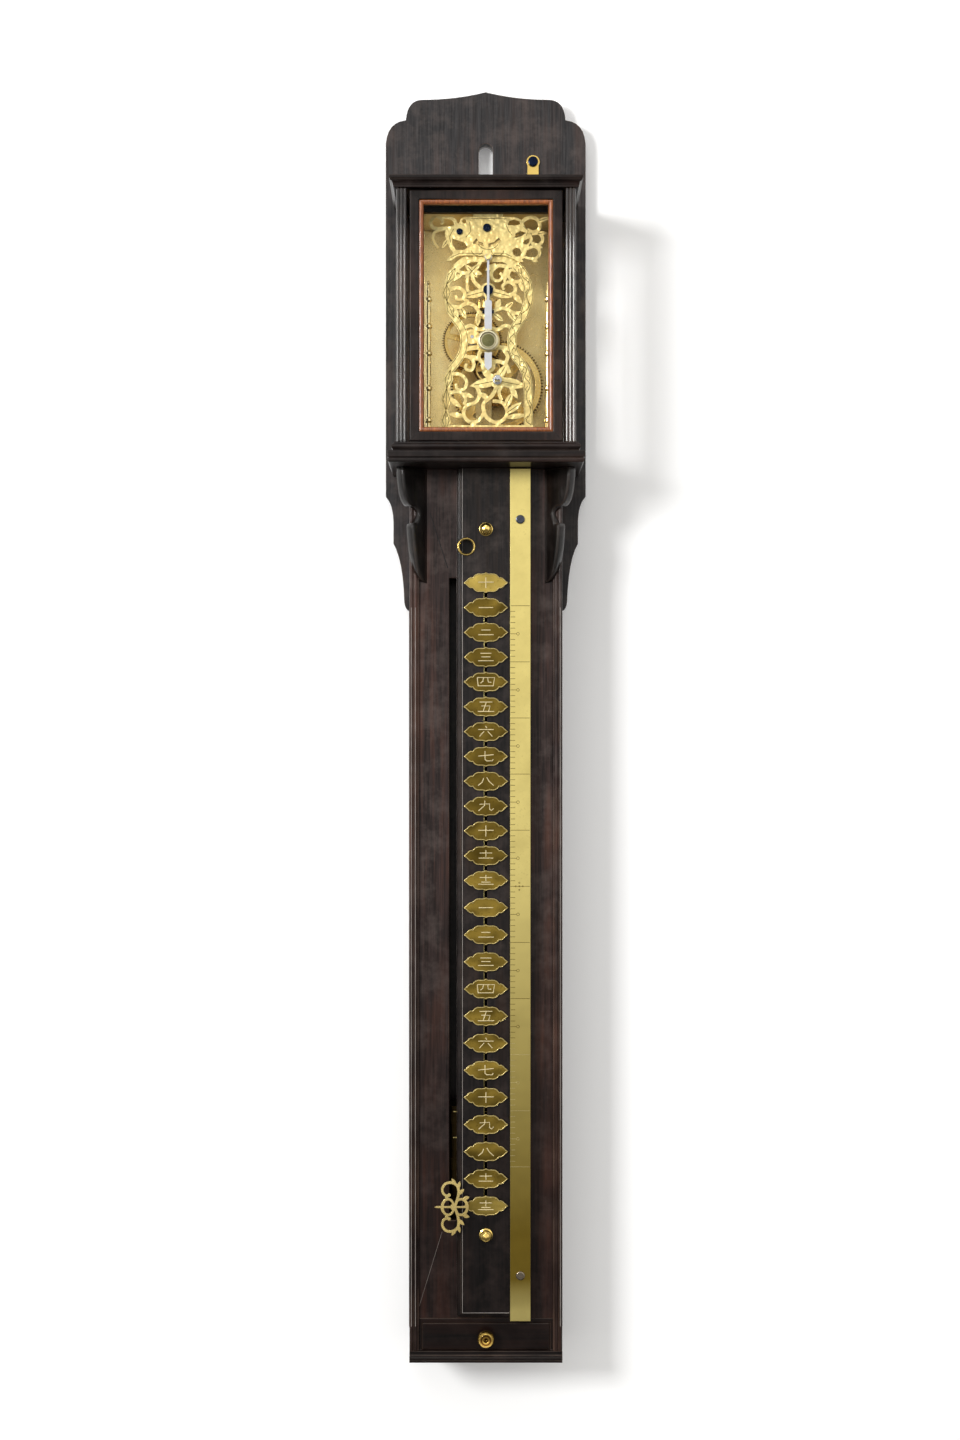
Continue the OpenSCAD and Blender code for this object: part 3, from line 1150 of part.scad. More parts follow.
// Scrolled pointer on the stem
module pointer() {
    $sheet = pointer_t;
    color(brass) translate([stem_x + 0.9, pointer_y, hour_z0]) rotate([90, 0, 0]) {
        for (flip = [-1, 1]) pointer_half(flip);
        pointer_ring(-3.5, 3.7, 0.1);
        pointer_ring(3.8, 3.9, -0.3);
        leaf([-6.6, 3], [-6.6, -3], 1.7);
        linear_extrude($sheet) polygon([[-needle_half - 1.8, 0], [-needle_half - 0.6, -0.5],
            [needle_half - 2, -0.45],
            [needle_half - 2, 0.45], [-needle_half - 0.6, 0.5]]);
        translate([-0.5, 0, 0]) cylinder(r = 1.7, h = $sheet);
    }
}

// Cord from the drum to the weight
module weight_cord() {
    color([0.5, 0.36, 0.2]) translate([cord_x, drum_mid, cord_end])
        cylinder(d = cord_d, h = great.y - cord_end);
}

// Lobed hour plate with its tongue and the clip behind the panel
module hour_plate(i) {
    kx = plate_w / 24.2;
    kz = plate_h / 11.3;
    quarter = concat(curve([12.1, 0], [10.9, 0.7], [9.4, 2.4], 4), curve([9.4, 2.4], [8.3, 3.3], [7.3,
        2.7], 3),
        curve([7.3, 2.7], [5.9, 5.3], [3.2, 5], 5), curve([3.2, 5], [0.9, 4.75], [0, 5.65], 3));
    upper = both(quarter);
    n = len(upper);
    shape = concat(upper, [for (k = [n - 2 : -1 : 1]) [upper[k].x, -upper[k].y]]);
    color(olive) translate([0, 0, hour_z(i)]) {
        plate(plate_y, plate_t) scale([kx, kz]) polygon(shape);
        box([0.2 - slit_w / 2, plate_y - 0.2, -2], [slit_w / 2 - 0.2, front_y + 1, 2]);
        box([1 - channel_w / 2, front_y + 0.4, -2.5], [channel_w / 2 - 1, front_y + 1.4, 2.5]);
    }
}

backboard();
trunk_sides();
trunk_base();
front_board();
seat_board();
hour_panel();
rule();
screws();
panel_fittings();
corbels();
hood_top();
hood_sill();
hood_shelf();
hood_sides();
side_glass();
hood_strap();
drawer();
drawer_knob();
front_frame();
front_bead();
front_glass();
movement_plates();
pillars();
front_fret();
front_cock();
drum();
great_wheel();
second_wheel();
third_wheel();
crown_wheel();
verge();
pendulum();
weight();
pointer();
weight_cord();
for (i = [1 : hours]) hour_plate(i - 1);
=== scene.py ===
import json
import math

import bpy
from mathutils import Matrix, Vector


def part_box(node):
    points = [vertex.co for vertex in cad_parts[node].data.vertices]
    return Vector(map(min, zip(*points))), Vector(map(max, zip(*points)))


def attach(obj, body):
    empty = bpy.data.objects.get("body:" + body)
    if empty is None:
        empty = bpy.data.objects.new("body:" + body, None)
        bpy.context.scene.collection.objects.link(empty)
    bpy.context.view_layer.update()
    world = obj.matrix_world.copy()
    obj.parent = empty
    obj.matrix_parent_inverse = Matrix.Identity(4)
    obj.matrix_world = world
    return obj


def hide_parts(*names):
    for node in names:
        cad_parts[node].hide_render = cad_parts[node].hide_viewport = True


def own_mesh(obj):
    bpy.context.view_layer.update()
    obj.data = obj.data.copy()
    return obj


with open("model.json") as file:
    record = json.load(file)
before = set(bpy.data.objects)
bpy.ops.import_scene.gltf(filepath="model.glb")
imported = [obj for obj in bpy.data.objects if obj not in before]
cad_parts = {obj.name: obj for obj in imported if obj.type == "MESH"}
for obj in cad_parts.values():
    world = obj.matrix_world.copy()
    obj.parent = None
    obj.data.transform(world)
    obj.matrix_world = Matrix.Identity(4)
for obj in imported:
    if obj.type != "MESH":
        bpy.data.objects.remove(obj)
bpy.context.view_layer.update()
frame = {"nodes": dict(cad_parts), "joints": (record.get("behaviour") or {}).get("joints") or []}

# Setting: the clock hangs on a plain white wall and is seen straight on from about a metre away,
# at the height of the middle of its trunk. A soft key to the left throws its shadow to the right.
MM = 0.001


def linear(hex_colour):
    """An sRGB hex value as linear RGBA."""
    parts = [int(hex_colour[i:i + 2], 16) / 255 for i in (1, 3, 5)]
    return tuple(c / 12.92 if c <= 0.04045 else ((c + 0.055) / 1.055) ** 2.4
                 for c in parts) + (1.0,)


def put(tree, kind, sockets=None, **settings):
    """Adds a shader node with its settings, and sets or links the given input sockets."""
    made = tree.nodes.new("ShaderNode" + kind)
    for key, value in settings.items():
        setattr(made, key, value)
    for key, value in (sockets or {}).items():
        if isinstance(value, bpy.types.NodeSocket):
            tree.links.new(value, made.inputs[key])
        else:
            made.inputs[key].default_value = value
    return made


def new_material(name):
    """A material with an empty tree, and its output node."""
    material = bpy.data.materials.new(name)
    material.use_nodes = True
    material.node_tree.nodes.clear()
    return material, material.node_tree, put(material.node_tree, "OutputMaterial")


EYE = (-3.2 * MM, -1150 * MM, -323 * MM)
UPRIGHT = (math.radians(90), 0, 0)
bpy.context.scene.view_settings.view_transform = "Standard"
bpy.ops.object.select_all(action="DESELECT")
bpy.ops.object.camera_add(location=EYE, rotation=UPRIGHT)
camera = bpy.context.object
camera.data.sensor_fit = "VERTICAL"
camera.data.sensor_height = 36
camera.data.lens = 50.9
camera.data.clip_start = 0.01
bpy.context.scene.camera = camera

# The wall is painted matt white. It is one-sided and lets light reach what hangs close before it,
# so that the clock's back can be seen from behind.
WALL_LIFT, WALL_GAP, CLOSE_TO_WALL = 0.17, 0.6 * MM, 4 * MM
wall_paint, tree, out = new_material("wall_paint_white")
light_path = put(tree, "LightPath")
seen = put(tree, "Math", {0: light_path.outputs["Is Camera Ray"],
                          1: light_path.outputs["Is Glossy Ray"]}, operation="MAXIMUM")
seen = put(tree, "Math", {0: seen.outputs[0], 1: light_path.outputs["Is Transmission Ray"]},
           operation="MAXIMUM")
glow = put(tree, "Math", {0: seen.outputs[0], 1: WALL_LIFT}, operation="MULTIPLY")
paint = put(tree, "BsdfDiffuse", {"Color": linear("#f4f4f4")})
lift = put(tree, "Emission", {"Color": (1, 1, 1, 1), "Strength": glow.outputs[0]})
lit_paint = put(tree, "AddShader", {0: paint.outputs[0], 1: lift.outputs[0]})
behind = put(tree, "NewGeometry")
clear = put(tree, "BsdfTransparent")
close = put(tree, "Math", {0: light_path.outputs["Ray Length"], 1: CLOSE_TO_WALL},
            operation="LESS_THAN")
see_through = put(tree, "Math", {0: behind.outputs["Backfacing"], 1: close.outputs[0]},
                  operation="MAXIMUM")
one_sided = put(tree, "MixShader", {0: see_through.outputs[0], 1: lit_paint.outputs[0],
                                    2: clear.outputs[0]})
tree.links.new(one_sided.outputs[0], out.inputs["Surface"])

bpy.ops.mesh.primitive_plane_add(size=6, location=(0, WALL_GAP, -0.35), rotation=UPRIGHT)
wall = bpy.context.object
wall.name = "wall"
wall.data.materials.append(wall_paint)

LAMPS = (("key", (-1.15, -1.55, 0.15), 0.45, 28),
         ("fill", (1.3, -1.6, 0.2), 1.2, 3),
         ("top", (-0.2, -1.3, 1.3), 0.8, 6))
CLOCK_MIDDLE = Vector((0, 0, -0.33))
for name, place, size, watts in LAMPS:
    bpy.ops.object.light_add(type="AREA", location=place)
    lamp = bpy.context.object
    lamp.name = name + "_light"
    lamp.data.size = size
    lamp.data.energy = watts
    aim = CLOCK_MIDDLE - Vector(place)
    lamp.rotation_euler = aim.to_track_quat("-Z", "Y").to_euler()

# The room is pale before the clock and dim below it, as over a dark floor.
world = bpy.data.worlds.new("studio")
bpy.context.scene.world = world
world.use_nodes = True
tree = world.node_tree
tree.nodes.clear()
facing = put(tree, "SeparateXYZ", {0: put(tree, "TexCoord").outputs["Generated"]})
ahead = put(tree, "MapRange", {"Value": facing.outputs["Y"], "From Min": 0.1, "From Max": -0.9})
above = put(tree, "MapRange", {"Value": facing.outputs["Z"], "From Min": -0.3, "From Max": 0.0,
                               "To Min": 0.1})
front = put(tree, "Math", {0: ahead.outputs[0], 1: above.outputs[0]}, operation="MULTIPLY")
back = put(tree, "MapRange", {"Value": facing.outputs["Y"], "From Min": 0.05, "From Max": 0.5,
                              "To Max": 0.8})
level = put(tree, "Math", {0: front.outputs[0], 1: back.outputs[0]}, operation="MAXIMUM")
tone = put(tree, "ValToRGB", {0: level.outputs[0]})
tone.color_ramp.elements[0].color = linear("#4c4a48")
tone.color_ramp.elements[1].color = linear("#f6f4f0")
sky_light = put(tree, "Background", {"Color": tone.outputs[0], "Strength": 1.05})
tree.links.new(sky_light.outputs[0], put(tree, "OutputWorld").inputs["Surface"])


# Case boards: ebony-dark hardwood, planed and lacquered long ago. Fine black pores run with the
# grain, the lacquer has thinned to a reddish brown in streaks, and hands have rubbed the arrises
# paler.
nodes = frame["nodes"]
# Heights in mm over which painted shade darkens the wood towards the clock's foot.
SHADE_FROM, SHADE_DEEPEST_AT = -400, -600


def lacquered_wood(name, along, deep, mid, warm, polish=0.1, worn=0.5, coat_rough=0.12,
                   round_mm=0.9, pale=0.25):
    """Lacquered hardwood whose grain runs along one axis. Its pores are about 1 mm wide and 25 mm
    long, coarser than real ones so that they show, and its figure is 6 mm wide. The lacquer is
    paler in patches of about 12 mm, and painted shade darkens it towards the clock's foot."""
    material, tree, out = new_material(name)
    place = put(tree, "TexCoord").outputs["Object"]
    stretch = tuple(0.04 if axis == along else 1.0 for axis in "XYZ")
    grain_place = put(tree, "Mapping", {"Vector": place, "Scale": stretch})
    pores = put(tree, "TexNoise", {"Vector": grain_place.outputs[0], "Scale": 900, "Detail": 5,
                                   "Roughness": 0.65})
    bands = put(tree, "TexNoise", {"Vector": grain_place.outputs[0], "Scale": 170, "Detail": 4,
                                   "Roughness": 0.6})
    cloud = put(tree, "TexNoise", {"Vector": place, "Scale": 22, "Detail": 3})
    patches = put(tree, "TexNoise", {"Vector": place, "Scale": 80, "Detail": 6, "Roughness": 0.65})
    grain = put(tree, "ValToRGB", {0: pores.outputs["Fac"]})
    dark_stop, pale_stop = grain.color_ramp.elements
    dark_stop.position, pale_stop.position = 0.34, 0.7
    dark_stop.color, pale_stop.color = linear(deep), linear(mid)
    figure = put(tree, "MapRange", {"Value": bands.outputs["Fac"], "From Min": 0.44,
                                    "From Max": 0.72})
    streaks = put(tree, "MapRange", {"Value": cloud.outputs["Fac"], "From Min": 0.35,
                                     "From Max": 0.65, "To Max": 0.9})
    warm_part = put(tree, "Math", {0: figure.outputs[0], 1: streaks.outputs[0]},
                    operation="MULTIPLY")
    tint = put(tree, "Mix", {0: warm_part.outputs[0], 6: grain.outputs[0], 7: linear(warm)},
               data_type="RGBA")
    bloom = put(tree, "MapRange", {"Value": patches.outputs["Fac"], "From Min": 0.46,
                                   "From Max": 0.72, "To Max": pale})
    faded = put(tree, "Mix", {0: bloom.outputs[0], 6: tint.outputs[2], 7: linear("#6c605b")},
                data_type="RGBA")
    # Painted shade: the colour is multiplied darker towards the clock's foot.
    height = put(tree, "SeparateXYZ", {0: place}).outputs["Z"]
    lower = put(tree, "MapRange", {"Value": height, "From Min": SHADE_FROM * MM,
                                   "From Max": SHADE_DEEPEST_AT * MM, "To Max": 0.85})
    foot_shaded = put(tree, "Mix", {0: lower.outputs[0], 6: faded.outputs[2], 7: linear("#9c8a86")},
                data_type="RGBA", blend_type="MULTIPLY")
    surface = put(tree, "NewGeometry")
    rounded = put(tree, "Bevel", {"Radius": round_mm * MM}, samples=6)
    turn = put(tree, "VectorMath", {0: surface.outputs["Normal"], 1: rounded.outputs[0]},
               operation="DOT_PRODUCT")
    edge = put(tree, "MapRange", {"Value": turn.outputs["Value"], "From Min": 0.995,
                                  "From Max": 0.8})
    rubbed = put(tree, "MapRange", {"Value": cloud.outputs["Fac"], "From Min": 0.35,
                                    "From Max": 0.65, "To Max": worn})
    wear = put(tree, "Math", {0: edge.outputs[0], 1: rubbed.outputs[0]}, operation="MULTIPLY")
    colour = put(tree, "Mix", {0: wear.outputs[0], 6: foot_shaded.outputs[2], 7: linear("#8d7566")},
                 data_type="RGBA")
    gloss = put(tree, "MapRange", {"Value": pores.outputs["Fac"], "To Min": 0.24, "To Max": 0.44})
    relief = put(tree, "Bump", {"Height": pores.outputs["Fac"], "Strength": 0.2,
                                "Distance": 0.12 * MM, "Normal": rounded.outputs[0]})
    wood = put(tree, "BsdfPrincipled", {
        "Base Color": colour.outputs[2], "Roughness": gloss.outputs[0], "IOR": 1.52,
        "Specular IOR Level": 0.16, "Coat Weight": polish, "Coat Roughness": coat_rough,
        "Normal": relief.outputs[0], "Coat Normal": rounded.outputs[0]})
    tree.links.new(wood.outputs[0], out.inputs["Surface"])
    return material


def dress(material, *names):
    """Gives CAD nodes a finish in place of the plain one they were packed with."""
    for name in names:
        nodes[name].data.materials.clear()
        nodes[name].data.materials.append(material)


dress(lacquered_wood("blackened_board", "Z", "#1f1e1f", "#3b393a", "#4a3b36", pale=0.3),
      "backboard")
upright_wood = lacquered_wood("lacquered_wood_upright", "Z", "#140e0d", "#372a28", "#5e3d31",
                              pale=0.3)
dress(upright_wood, "trunk_sides", "front_board")
level_wood = lacquered_wood("lacquered_wood_level", "X", "#080505", "#1d1513", "#321f19", worn=0.3,
                            pale=0.1)
dress(level_wood, "trunk_base", "seat_board", "hood_top", "hood_sill", "hood_shelf", "drawer")
dress(lacquered_wood("lacquered_wood_frame", "Z", "#0a0706", "#251c1a", "#36231d", pale=0.1),
      "front_frame")
dress(lacquered_wood("polished_wood", "Z", "#080606", "#1c1514", "#2c1c18", polish=0.9, worn=0.9,
                     coat_rough=0.06, pale=0.1), "hood_sides")
dress(lacquered_wood("polished_carved_wood", "Z", "#060505", "#151110", "#22170f", polish=0.5,
                     worn=0.2, coat_rough=0.06, round_mm=2.6, pale=0.1), "corbels")
panel_wood = lacquered_wood("lacquered_wood_panel", "Z", "#080707", "#221d1d", "#33251d",
                            worn=0.35, pale=0.2)
dress(panel_wood, "hour_panel")


# Lines on the case: a dark line along a shadow edge that crosses the front board beside the slot, a
# long pale line across its foot, and painted highlights along the panel's moulded edge and the
# trunk's beads. All are fine lines in the lacquer.


def line_work(name, paths, face_y, material, body, width, proud, closed=False):
    """Fine lines on a face that looks to the front: each path of (x, z) in mm becomes a low rounded
    bead of the given width that stands proud of the face."""
    data = bpy.data.curves.new(name, "CURVE")
    data.dimensions = "3D"
    data.bevel_depth = width / 2 * MM
    data.bevel_resolution = 0
    data.use_fill_caps = True
    for path in paths:
        spline = data.splines.new("POLY")
        spline.points.add(len(path) - 1)
        spline.use_cyclic_u = closed
        for point, (x, z) in zip(spline.points, path):
            point.co = (x * MM, face_y * MM, z * MM, 1)
    made = bpy.data.objects.new(name, data)
    bpy.context.collection.objects.link(made)
    bpy.ops.object.select_all(action="DESELECT")
    made.select_set(True)
    bpy.context.view_layer.objects.active = made
    bpy.ops.object.convert(target="MESH")
    made = bpy.context.object
    bpy.ops.object.mode_set(mode="EDIT")
    bpy.ops.mesh.select_all(action="SELECT")
    bpy.ops.transform.resize(value=(1, 2 * proud / width, 1), center_override=(0, face_y * MM, 0))
    bpy.ops.object.mode_set(mode="OBJECT")
    made.data.materials.append(material)
    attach(made, body)
    return made


def fine_line(name, dark, pale, grit_mm, metal, rough):
    """The look of a thin line, uneven along its length: a cut, a joint, a painted shadow edge or a
    painted highlight.
    """
    material, tree, out = new_material(name)
    place = put(tree, "TexCoord").outputs["Object"]
    grit = put(tree, "TexNoise", {"Vector": place, "Scale": 1 / (grit_mm * MM), "Detail": 2})
    tone = put(tree, "Mix", {0: grit.outputs["Fac"], 6: linear(dark), 7: linear(pale)},
               data_type="RGBA")
    cut = put(tree, "BsdfPrincipled", {"Base Color": tone.outputs[2], "Metallic": metal,
                                       "Roughness": rough})
    tree.links.new(cut.outputs[0], out.inputs["Surface"])
    return material


# Painted shadow: a dark line along the edge of a shadow that falls across the front board beside
# the slot. The same dark finish draws the frame's mitre joints.
SHADOW_EDGE_LINE = [(-30.4, -210.5), (-20.7, -240.4)]
# A long pale line across the foot of the front board.
PALE_LINE = [(-23.8, -601.2), (-36.2, -641.6)]
board_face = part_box("front_board")[0].y / MM
joint_and_shadow_line = fine_line("dark_joint_and_shadow_line", "#060404", "#120c0b", grit_mm=2, metal=0.0, rough=0.7)
line_work("painted_shadow_edge", [SHADOW_EDGE_LINE], board_face, joint_and_shadow_line, "case", width=0.5, proud=0.02)
pale_line_finish = fine_line("pale_line_lacquer", "#4a4340", "#8d857e", grit_mm=4, metal=0.0, rough=0.5)
line_work("front_pale_line", [PALE_LINE], board_face, pale_line_finish, "case", width=0.22,
          proud=0.02)

PANEL_MOULD, MOULD_LIP, MOULD_DROP = 3, 0.1, 0.66
HEAD_GAP, RULE_GAP = 0.5, 0.4
# Painted highlights: pale lines along the panel's arrises, where the light catches them.
arris_highlight = fine_line("painted_arris_highlight", "#5d5550", "#c3bcb6", grit_mm=9, metal=0.0, rough=0.35)
low, high = [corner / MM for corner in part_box("hour_panel")]
arris_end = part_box("rule")[0].x / MM - RULE_GAP
for name, inset, sunk in (("panel_inner_arris", PANEL_MOULD, 0.0),
                          ("panel_outer_arris", MOULD_LIP, MOULD_DROP)):
    arris = [(low.x + inset, high.z - HEAD_GAP), (low.x + inset, low.z + inset),
             (arris_end, low.z + inset)]
    arris_y = low.y + sunk * (board_face - low.y)
    line_work(name, [arris], arris_y, arris_highlight, "case", width=0.36, proud=0.06)

# The trunk's beads get painted highlight lines along their crests.
TRUNK_INSIDE, BEADING_RADII = 36.5, 4.6
BEAD_TOP, BEAD_FOOT = -262, -652
low, high = [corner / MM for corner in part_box("trunk_sides")]
bead_r = (high.x - TRUNK_INSIDE) / BEADING_RADII
beads = [[(x, BEAD_TOP), (x, BEAD_FOOT)]
         for x in (low.x + bead_r, low.x + 3 * bead_r, high.x - bead_r)]
line_work("trunk_bead_highlight", beads, low.y, arris_highlight, "case", width=0.3, proud=0.05)


# Glazed front: a dark mitred frame, lifted out by hand. A narrow bead of a plainer red-brown wood
# holds the clear pane, and like panes stand in the hood's sides.


def bead_wood():
    """Oiled red-brown wood with a fine streak along the frame's long side, about 0.6 mm wide."""
    material, tree, out = new_material("oiled_red_wood")
    place = put(tree, "TexCoord").outputs["Object"]
    streak_place = put(tree, "Mapping", {"Vector": place, "Scale": (1, 1, 0.15)})
    streak = put(tree, "TexNoise", {"Vector": streak_place.outputs[0], "Scale": 1600, "Detail": 4})
    tone = put(tree, "ValToRGB", {0: streak.outputs["Fac"]})
    dark_stop, pale_stop = tone.color_ramp.elements
    dark_stop.color, pale_stop.color = linear("#5c2c14"), linear("#a8602e")
    dark_stop.position, pale_stop.position = 0.3, 0.7
    gloss = put(tree, "MapRange", {"Value": streak.outputs["Fac"], "To Min": 0.3, "To Max": 0.5})
    relief = put(tree, "Bump", {"Height": streak.outputs["Fac"], "Strength": 0.2,
                                "Distance": 0.1 * MM})
    wood = put(tree, "BsdfPrincipled", {"Base Color": tone.outputs[0],
                                        "Roughness": gloss.outputs[0],
                                        "Normal": relief.outputs[0], "Coat Weight": 0.2})
    tree.links.new(wood.outputs[0], out.inputs["Surface"])
    return material


dress(bead_wood(), "front_bead")

# The panes are thin clear glass, with a faint haze of dust in patches of about 17 mm.
pane, tree, out = new_material("clear_pane")
dust = put(tree, "TexNoise", {"Vector": put(tree, "TexCoord").outputs["Object"], "Scale": 60,
                              "Detail": 4})
haze = put(tree, "MapRange", {"Value": dust.outputs["Fac"], "To Min": 0.03, "To Max": 0.07})
gloss = put(tree, "MapRange", {"Value": dust.outputs["Fac"], "To Min": 0.02, "To Max": 0.06})
glass = put(tree, "BsdfPrincipled", {"Base Color": linear("#1d2423"), "Roughness": gloss.outputs[0],
                                     "IOR": 1.5, "Alpha": haze.outputs[0]})
tree.links.new(glass.outputs[0], out.inputs["Surface"])
dress(pane, "front_glass", "side_glass")

MITRE_GAP = 0.3
low, high = [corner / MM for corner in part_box("front_frame")]
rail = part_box("front_bead")[0].x / MM - low.x
mitres = [[(x, z), (x + sx * rail, z + sz * rail)]
          for x, sx in ((low.x + MITRE_GAP, 1), (high.x - MITRE_GAP, -1))
          for z, sz in ((low.z + MITRE_GAP, 1), (high.z - MITRE_GAP, -1))]
line_work("frame_mitres", mitres, low.y, joint_and_shadow_line, "glazed_front", width=0.3, proud=0.02)


# Movement: plates, pillars and wheels of sheet and turned brass, polished and then left to go a
# pale gold. The arbors, pinions, winding square and click are bright steel.


def brass_finish(name, bright, dull, rough, stain=0.4, spot_mm=1.2, grain=(1, 1, 1), worn="#f6e7ae",
                 sway=0.2, shaded_span=None, metal=1.0, carved=0.0, shade_reach_mm=2.5):
    """Brass with cloudy tarnish, polishing marks drawn coarse enough to show at 0.4 mm, brighter
    rubbed edges and a sheet that is not quite flat. A stretch of heights in mm may be given, from
    its top to its foot, over which painted shade darkens the brass, and the depth of carving about
    3 mm wide. Painted shade darkens the metal to brown where it is sheltered within the given
    distance."""
    material, tree, out = new_material(name)
    place = put(tree, "TexCoord").outputs["Object"]
    cloud = put(tree, "TexNoise", {"Vector": place, "Scale": 55, "Detail": 5, "Roughness": 0.6})
    spots = put(tree, "TexNoise", {"Vector": place, "Scale": 1 / (spot_mm * MM), "Detail": 2})
    line_place = put(tree, "Mapping", {"Vector": place, "Scale": grain})
    marks = put(tree, "TexNoise", {"Vector": line_place.outputs[0], "Scale": 2500, "Detail": 3})
    tarnish = put(tree, "MapRange", {"Value": cloud.outputs["Fac"], "From Min": 0.38,
                                     "From Max": 0.68, "To Max": stain})
    speck = put(tree, "MapRange", {"Value": spots.outputs["Fac"], "From Min": 0.56,
                                   "From Max": 0.72, "To Max": stain})
    tarnish_and_shade = put(tree, "Math", {0: tarnish.outputs[0], 1: speck.outputs[0]}, operation="MAXIMUM")
    # Painted shade: over the given heights the brass darkens towards the foot, standing in for
    # dimmer reflections low down, and it fades out again just below.
    if shaded_span:
        height = put(tree, "SeparateXYZ", {0: place}).outputs["Z"]
        top, foot = shaded_span
        dark_to, shade_gone_at = foot - 25, foot - 45
        darker = put(tree, "MapRange", {"Value": height, "From Min": top * MM,
                                        "From Max": foot * MM})
        shade_fade = put(tree, "MapRange", {"Value": height, "From Min": shade_gone_at * MM,
                                         "From Max": dark_to * MM})
        darker = put(tree, "Math", {0: darker.outputs[0], 1: shade_fade.outputs[0]},
                     operation="MULTIPLY")
        tarnish_and_shade = put(tree, "Math", {0: tarnish_and_shade.outputs[0], 1: darker.outputs[0]}, operation="MAXIMUM")
    base = put(tree, "Mix", {0: tarnish_and_shade.outputs[0], 6: linear(bright), 7: linear(dull)},
               data_type="RGBA")
    surface = put(tree, "NewGeometry")
    rounded = put(tree, "Bevel", {"Radius": 0.25 * MM}, samples=4)
    turn = put(tree, "VectorMath", {0: surface.outputs["Normal"], 1: rounded.outputs[0]},
               operation="DOT_PRODUCT")
    edge = put(tree, "MapRange", {"Value": turn.outputs["Value"], "From Min": 0.995,
                                  "From Max": 0.75, "To Max": 0.7})
    clean = put(tree, "Mix", {0: edge.outputs[0], 6: base.outputs[2], 7: linear(worn)},
                data_type="RGBA")
    # Painted shade: a dark brown is mixed in where ambient occlusion finds the metal sheltered, as
    # in recesses, between teeth and behind other parts.
    recess = put(tree, "AmbientOcclusion", {"Distance": shade_reach_mm * MM}, samples=6)
    recess_shade = put(tree, "MapRange", {"Value": recess.outputs["AO"], "From Min": 0.65,
                                   "From Max": 0.15, "To Max": 0.9})
    colour = put(tree, "Mix", {0: recess_shade.outputs[0], 6: clean.outputs[2], 7: linear("#5c4014")},
                 data_type="RGBA")
    gloss = put(tree, "MapRange", {"Value": marks.outputs["Fac"], "To Min": rough - 0.07,
                                   "To Max": rough + 0.1})
    dents = put(tree, "TexNoise", {"Vector": place, "Scale": 70, "Detail": 1})
    uneven = put(tree, "Bump", {"Height": dents.outputs["Fac"], "Strength": sway,
                                "Distance": 4 * MM, "Normal": rounded.outputs[0]})
    if carved:
        chisel = put(tree, "TexNoise", {"Vector": place, "Scale": 330, "Detail": 1})
        uneven = put(tree, "Bump", {"Height": chisel.outputs["Fac"], "Strength": carved,
                                    "Distance": 1.2 * MM, "Normal": uneven.outputs[0]})
    relief = put(tree, "Bump", {"Height": marks.outputs["Fac"], "Strength": 0.15,
                                "Distance": 0.05 * MM, "Normal": uneven.outputs[0]})
    shine = put(tree, "BsdfPrincipled", {"Base Color": colour.outputs[2], "Metallic": metal,
                                         "Roughness": gloss.outputs[0],
                                         "Normal": relief.outputs[0]})
    tree.links.new(shine.outputs[0], out.inputs["Surface"])
    return material


def near(material, place, reach, colour, along=(1, 0, 1), beyond=False):
    """Colours a finish another way within reach of a point, or beyond it, in mm; along 0 leaves an
    axis out."""
    tree = material.node_tree
    shine = next(n for n in tree.nodes if n.bl_idname == "ShaderNodeBsdfPrincipled")
    shift = put(tree, "VectorMath", {0: put(tree, "TexCoord").outputs["Object"],
                                     1: tuple(v * MM for v in place)}, operation="SUBTRACT")
    flat = put(tree, "VectorMath", {0: shift.outputs[0], 1: along}, operation="MULTIPLY")
    far = put(tree, "VectorMath", {0: flat.outputs[0]}, operation="LENGTH")
    soft = -0.15 if beyond else 0.15
    inside = put(tree, "MapRange", {"Value": far.outputs["Value"], "From Min": (reach + soft) * MM,
                                    "From Max": (reach - soft) * MM})
    was = shine.inputs["Base Color"].links[0].from_socket
    mixed = put(tree, "Mix", {0: inside.outputs[0], 6: was, 7: linear(colour)}, data_type="RGBA")
    tree.links.new(mixed.outputs[2], shine.inputs["Base Color"])


def axis_of(joint_name):
    """A point on a joint's axis, in mm."""
    joint = next(j for j in frame["joints"] if j["name"] == joint_name)
    return tuple(v / MM for v in joint["pos_m"])


# The plates' painted shade reaches 30 mm, so they darken behind the wheels and the fret.
dress(brass_finish("polished_brass_plate", "#fde8a6", "#dfb860", 0.28, stain=0.35, metal=0.75,
                   shade_reach_mm=30), "movement_plates")
dress(brass_finish("turned_brass_pillars", "#fbe8ae", "#d0a850", 0.2, stain=0.25, sway=0.03),
      "pillars")
BRIGHT_STEEL, TEETH_PAINTED_SHADE = "#d5d8de", "#5a3f14"
TOOTH_DEPTH, CLICK_DEPTH = 1.3, 1.35
WHEELS = (("drum", "drum_turn", 2.6, (1, 0, 1)),
          ("great_wheel", "great_turn", 1.7, (1, 0, 1)),
          ("second_wheel", "second_turn", 2.7, (1, 0, 1)),
          ("third_wheel", "third_turn", 2.2, (1, 0, 1)),
          ("crown_wheel", "crown_turn", 1.75, (1, 1, 0)))
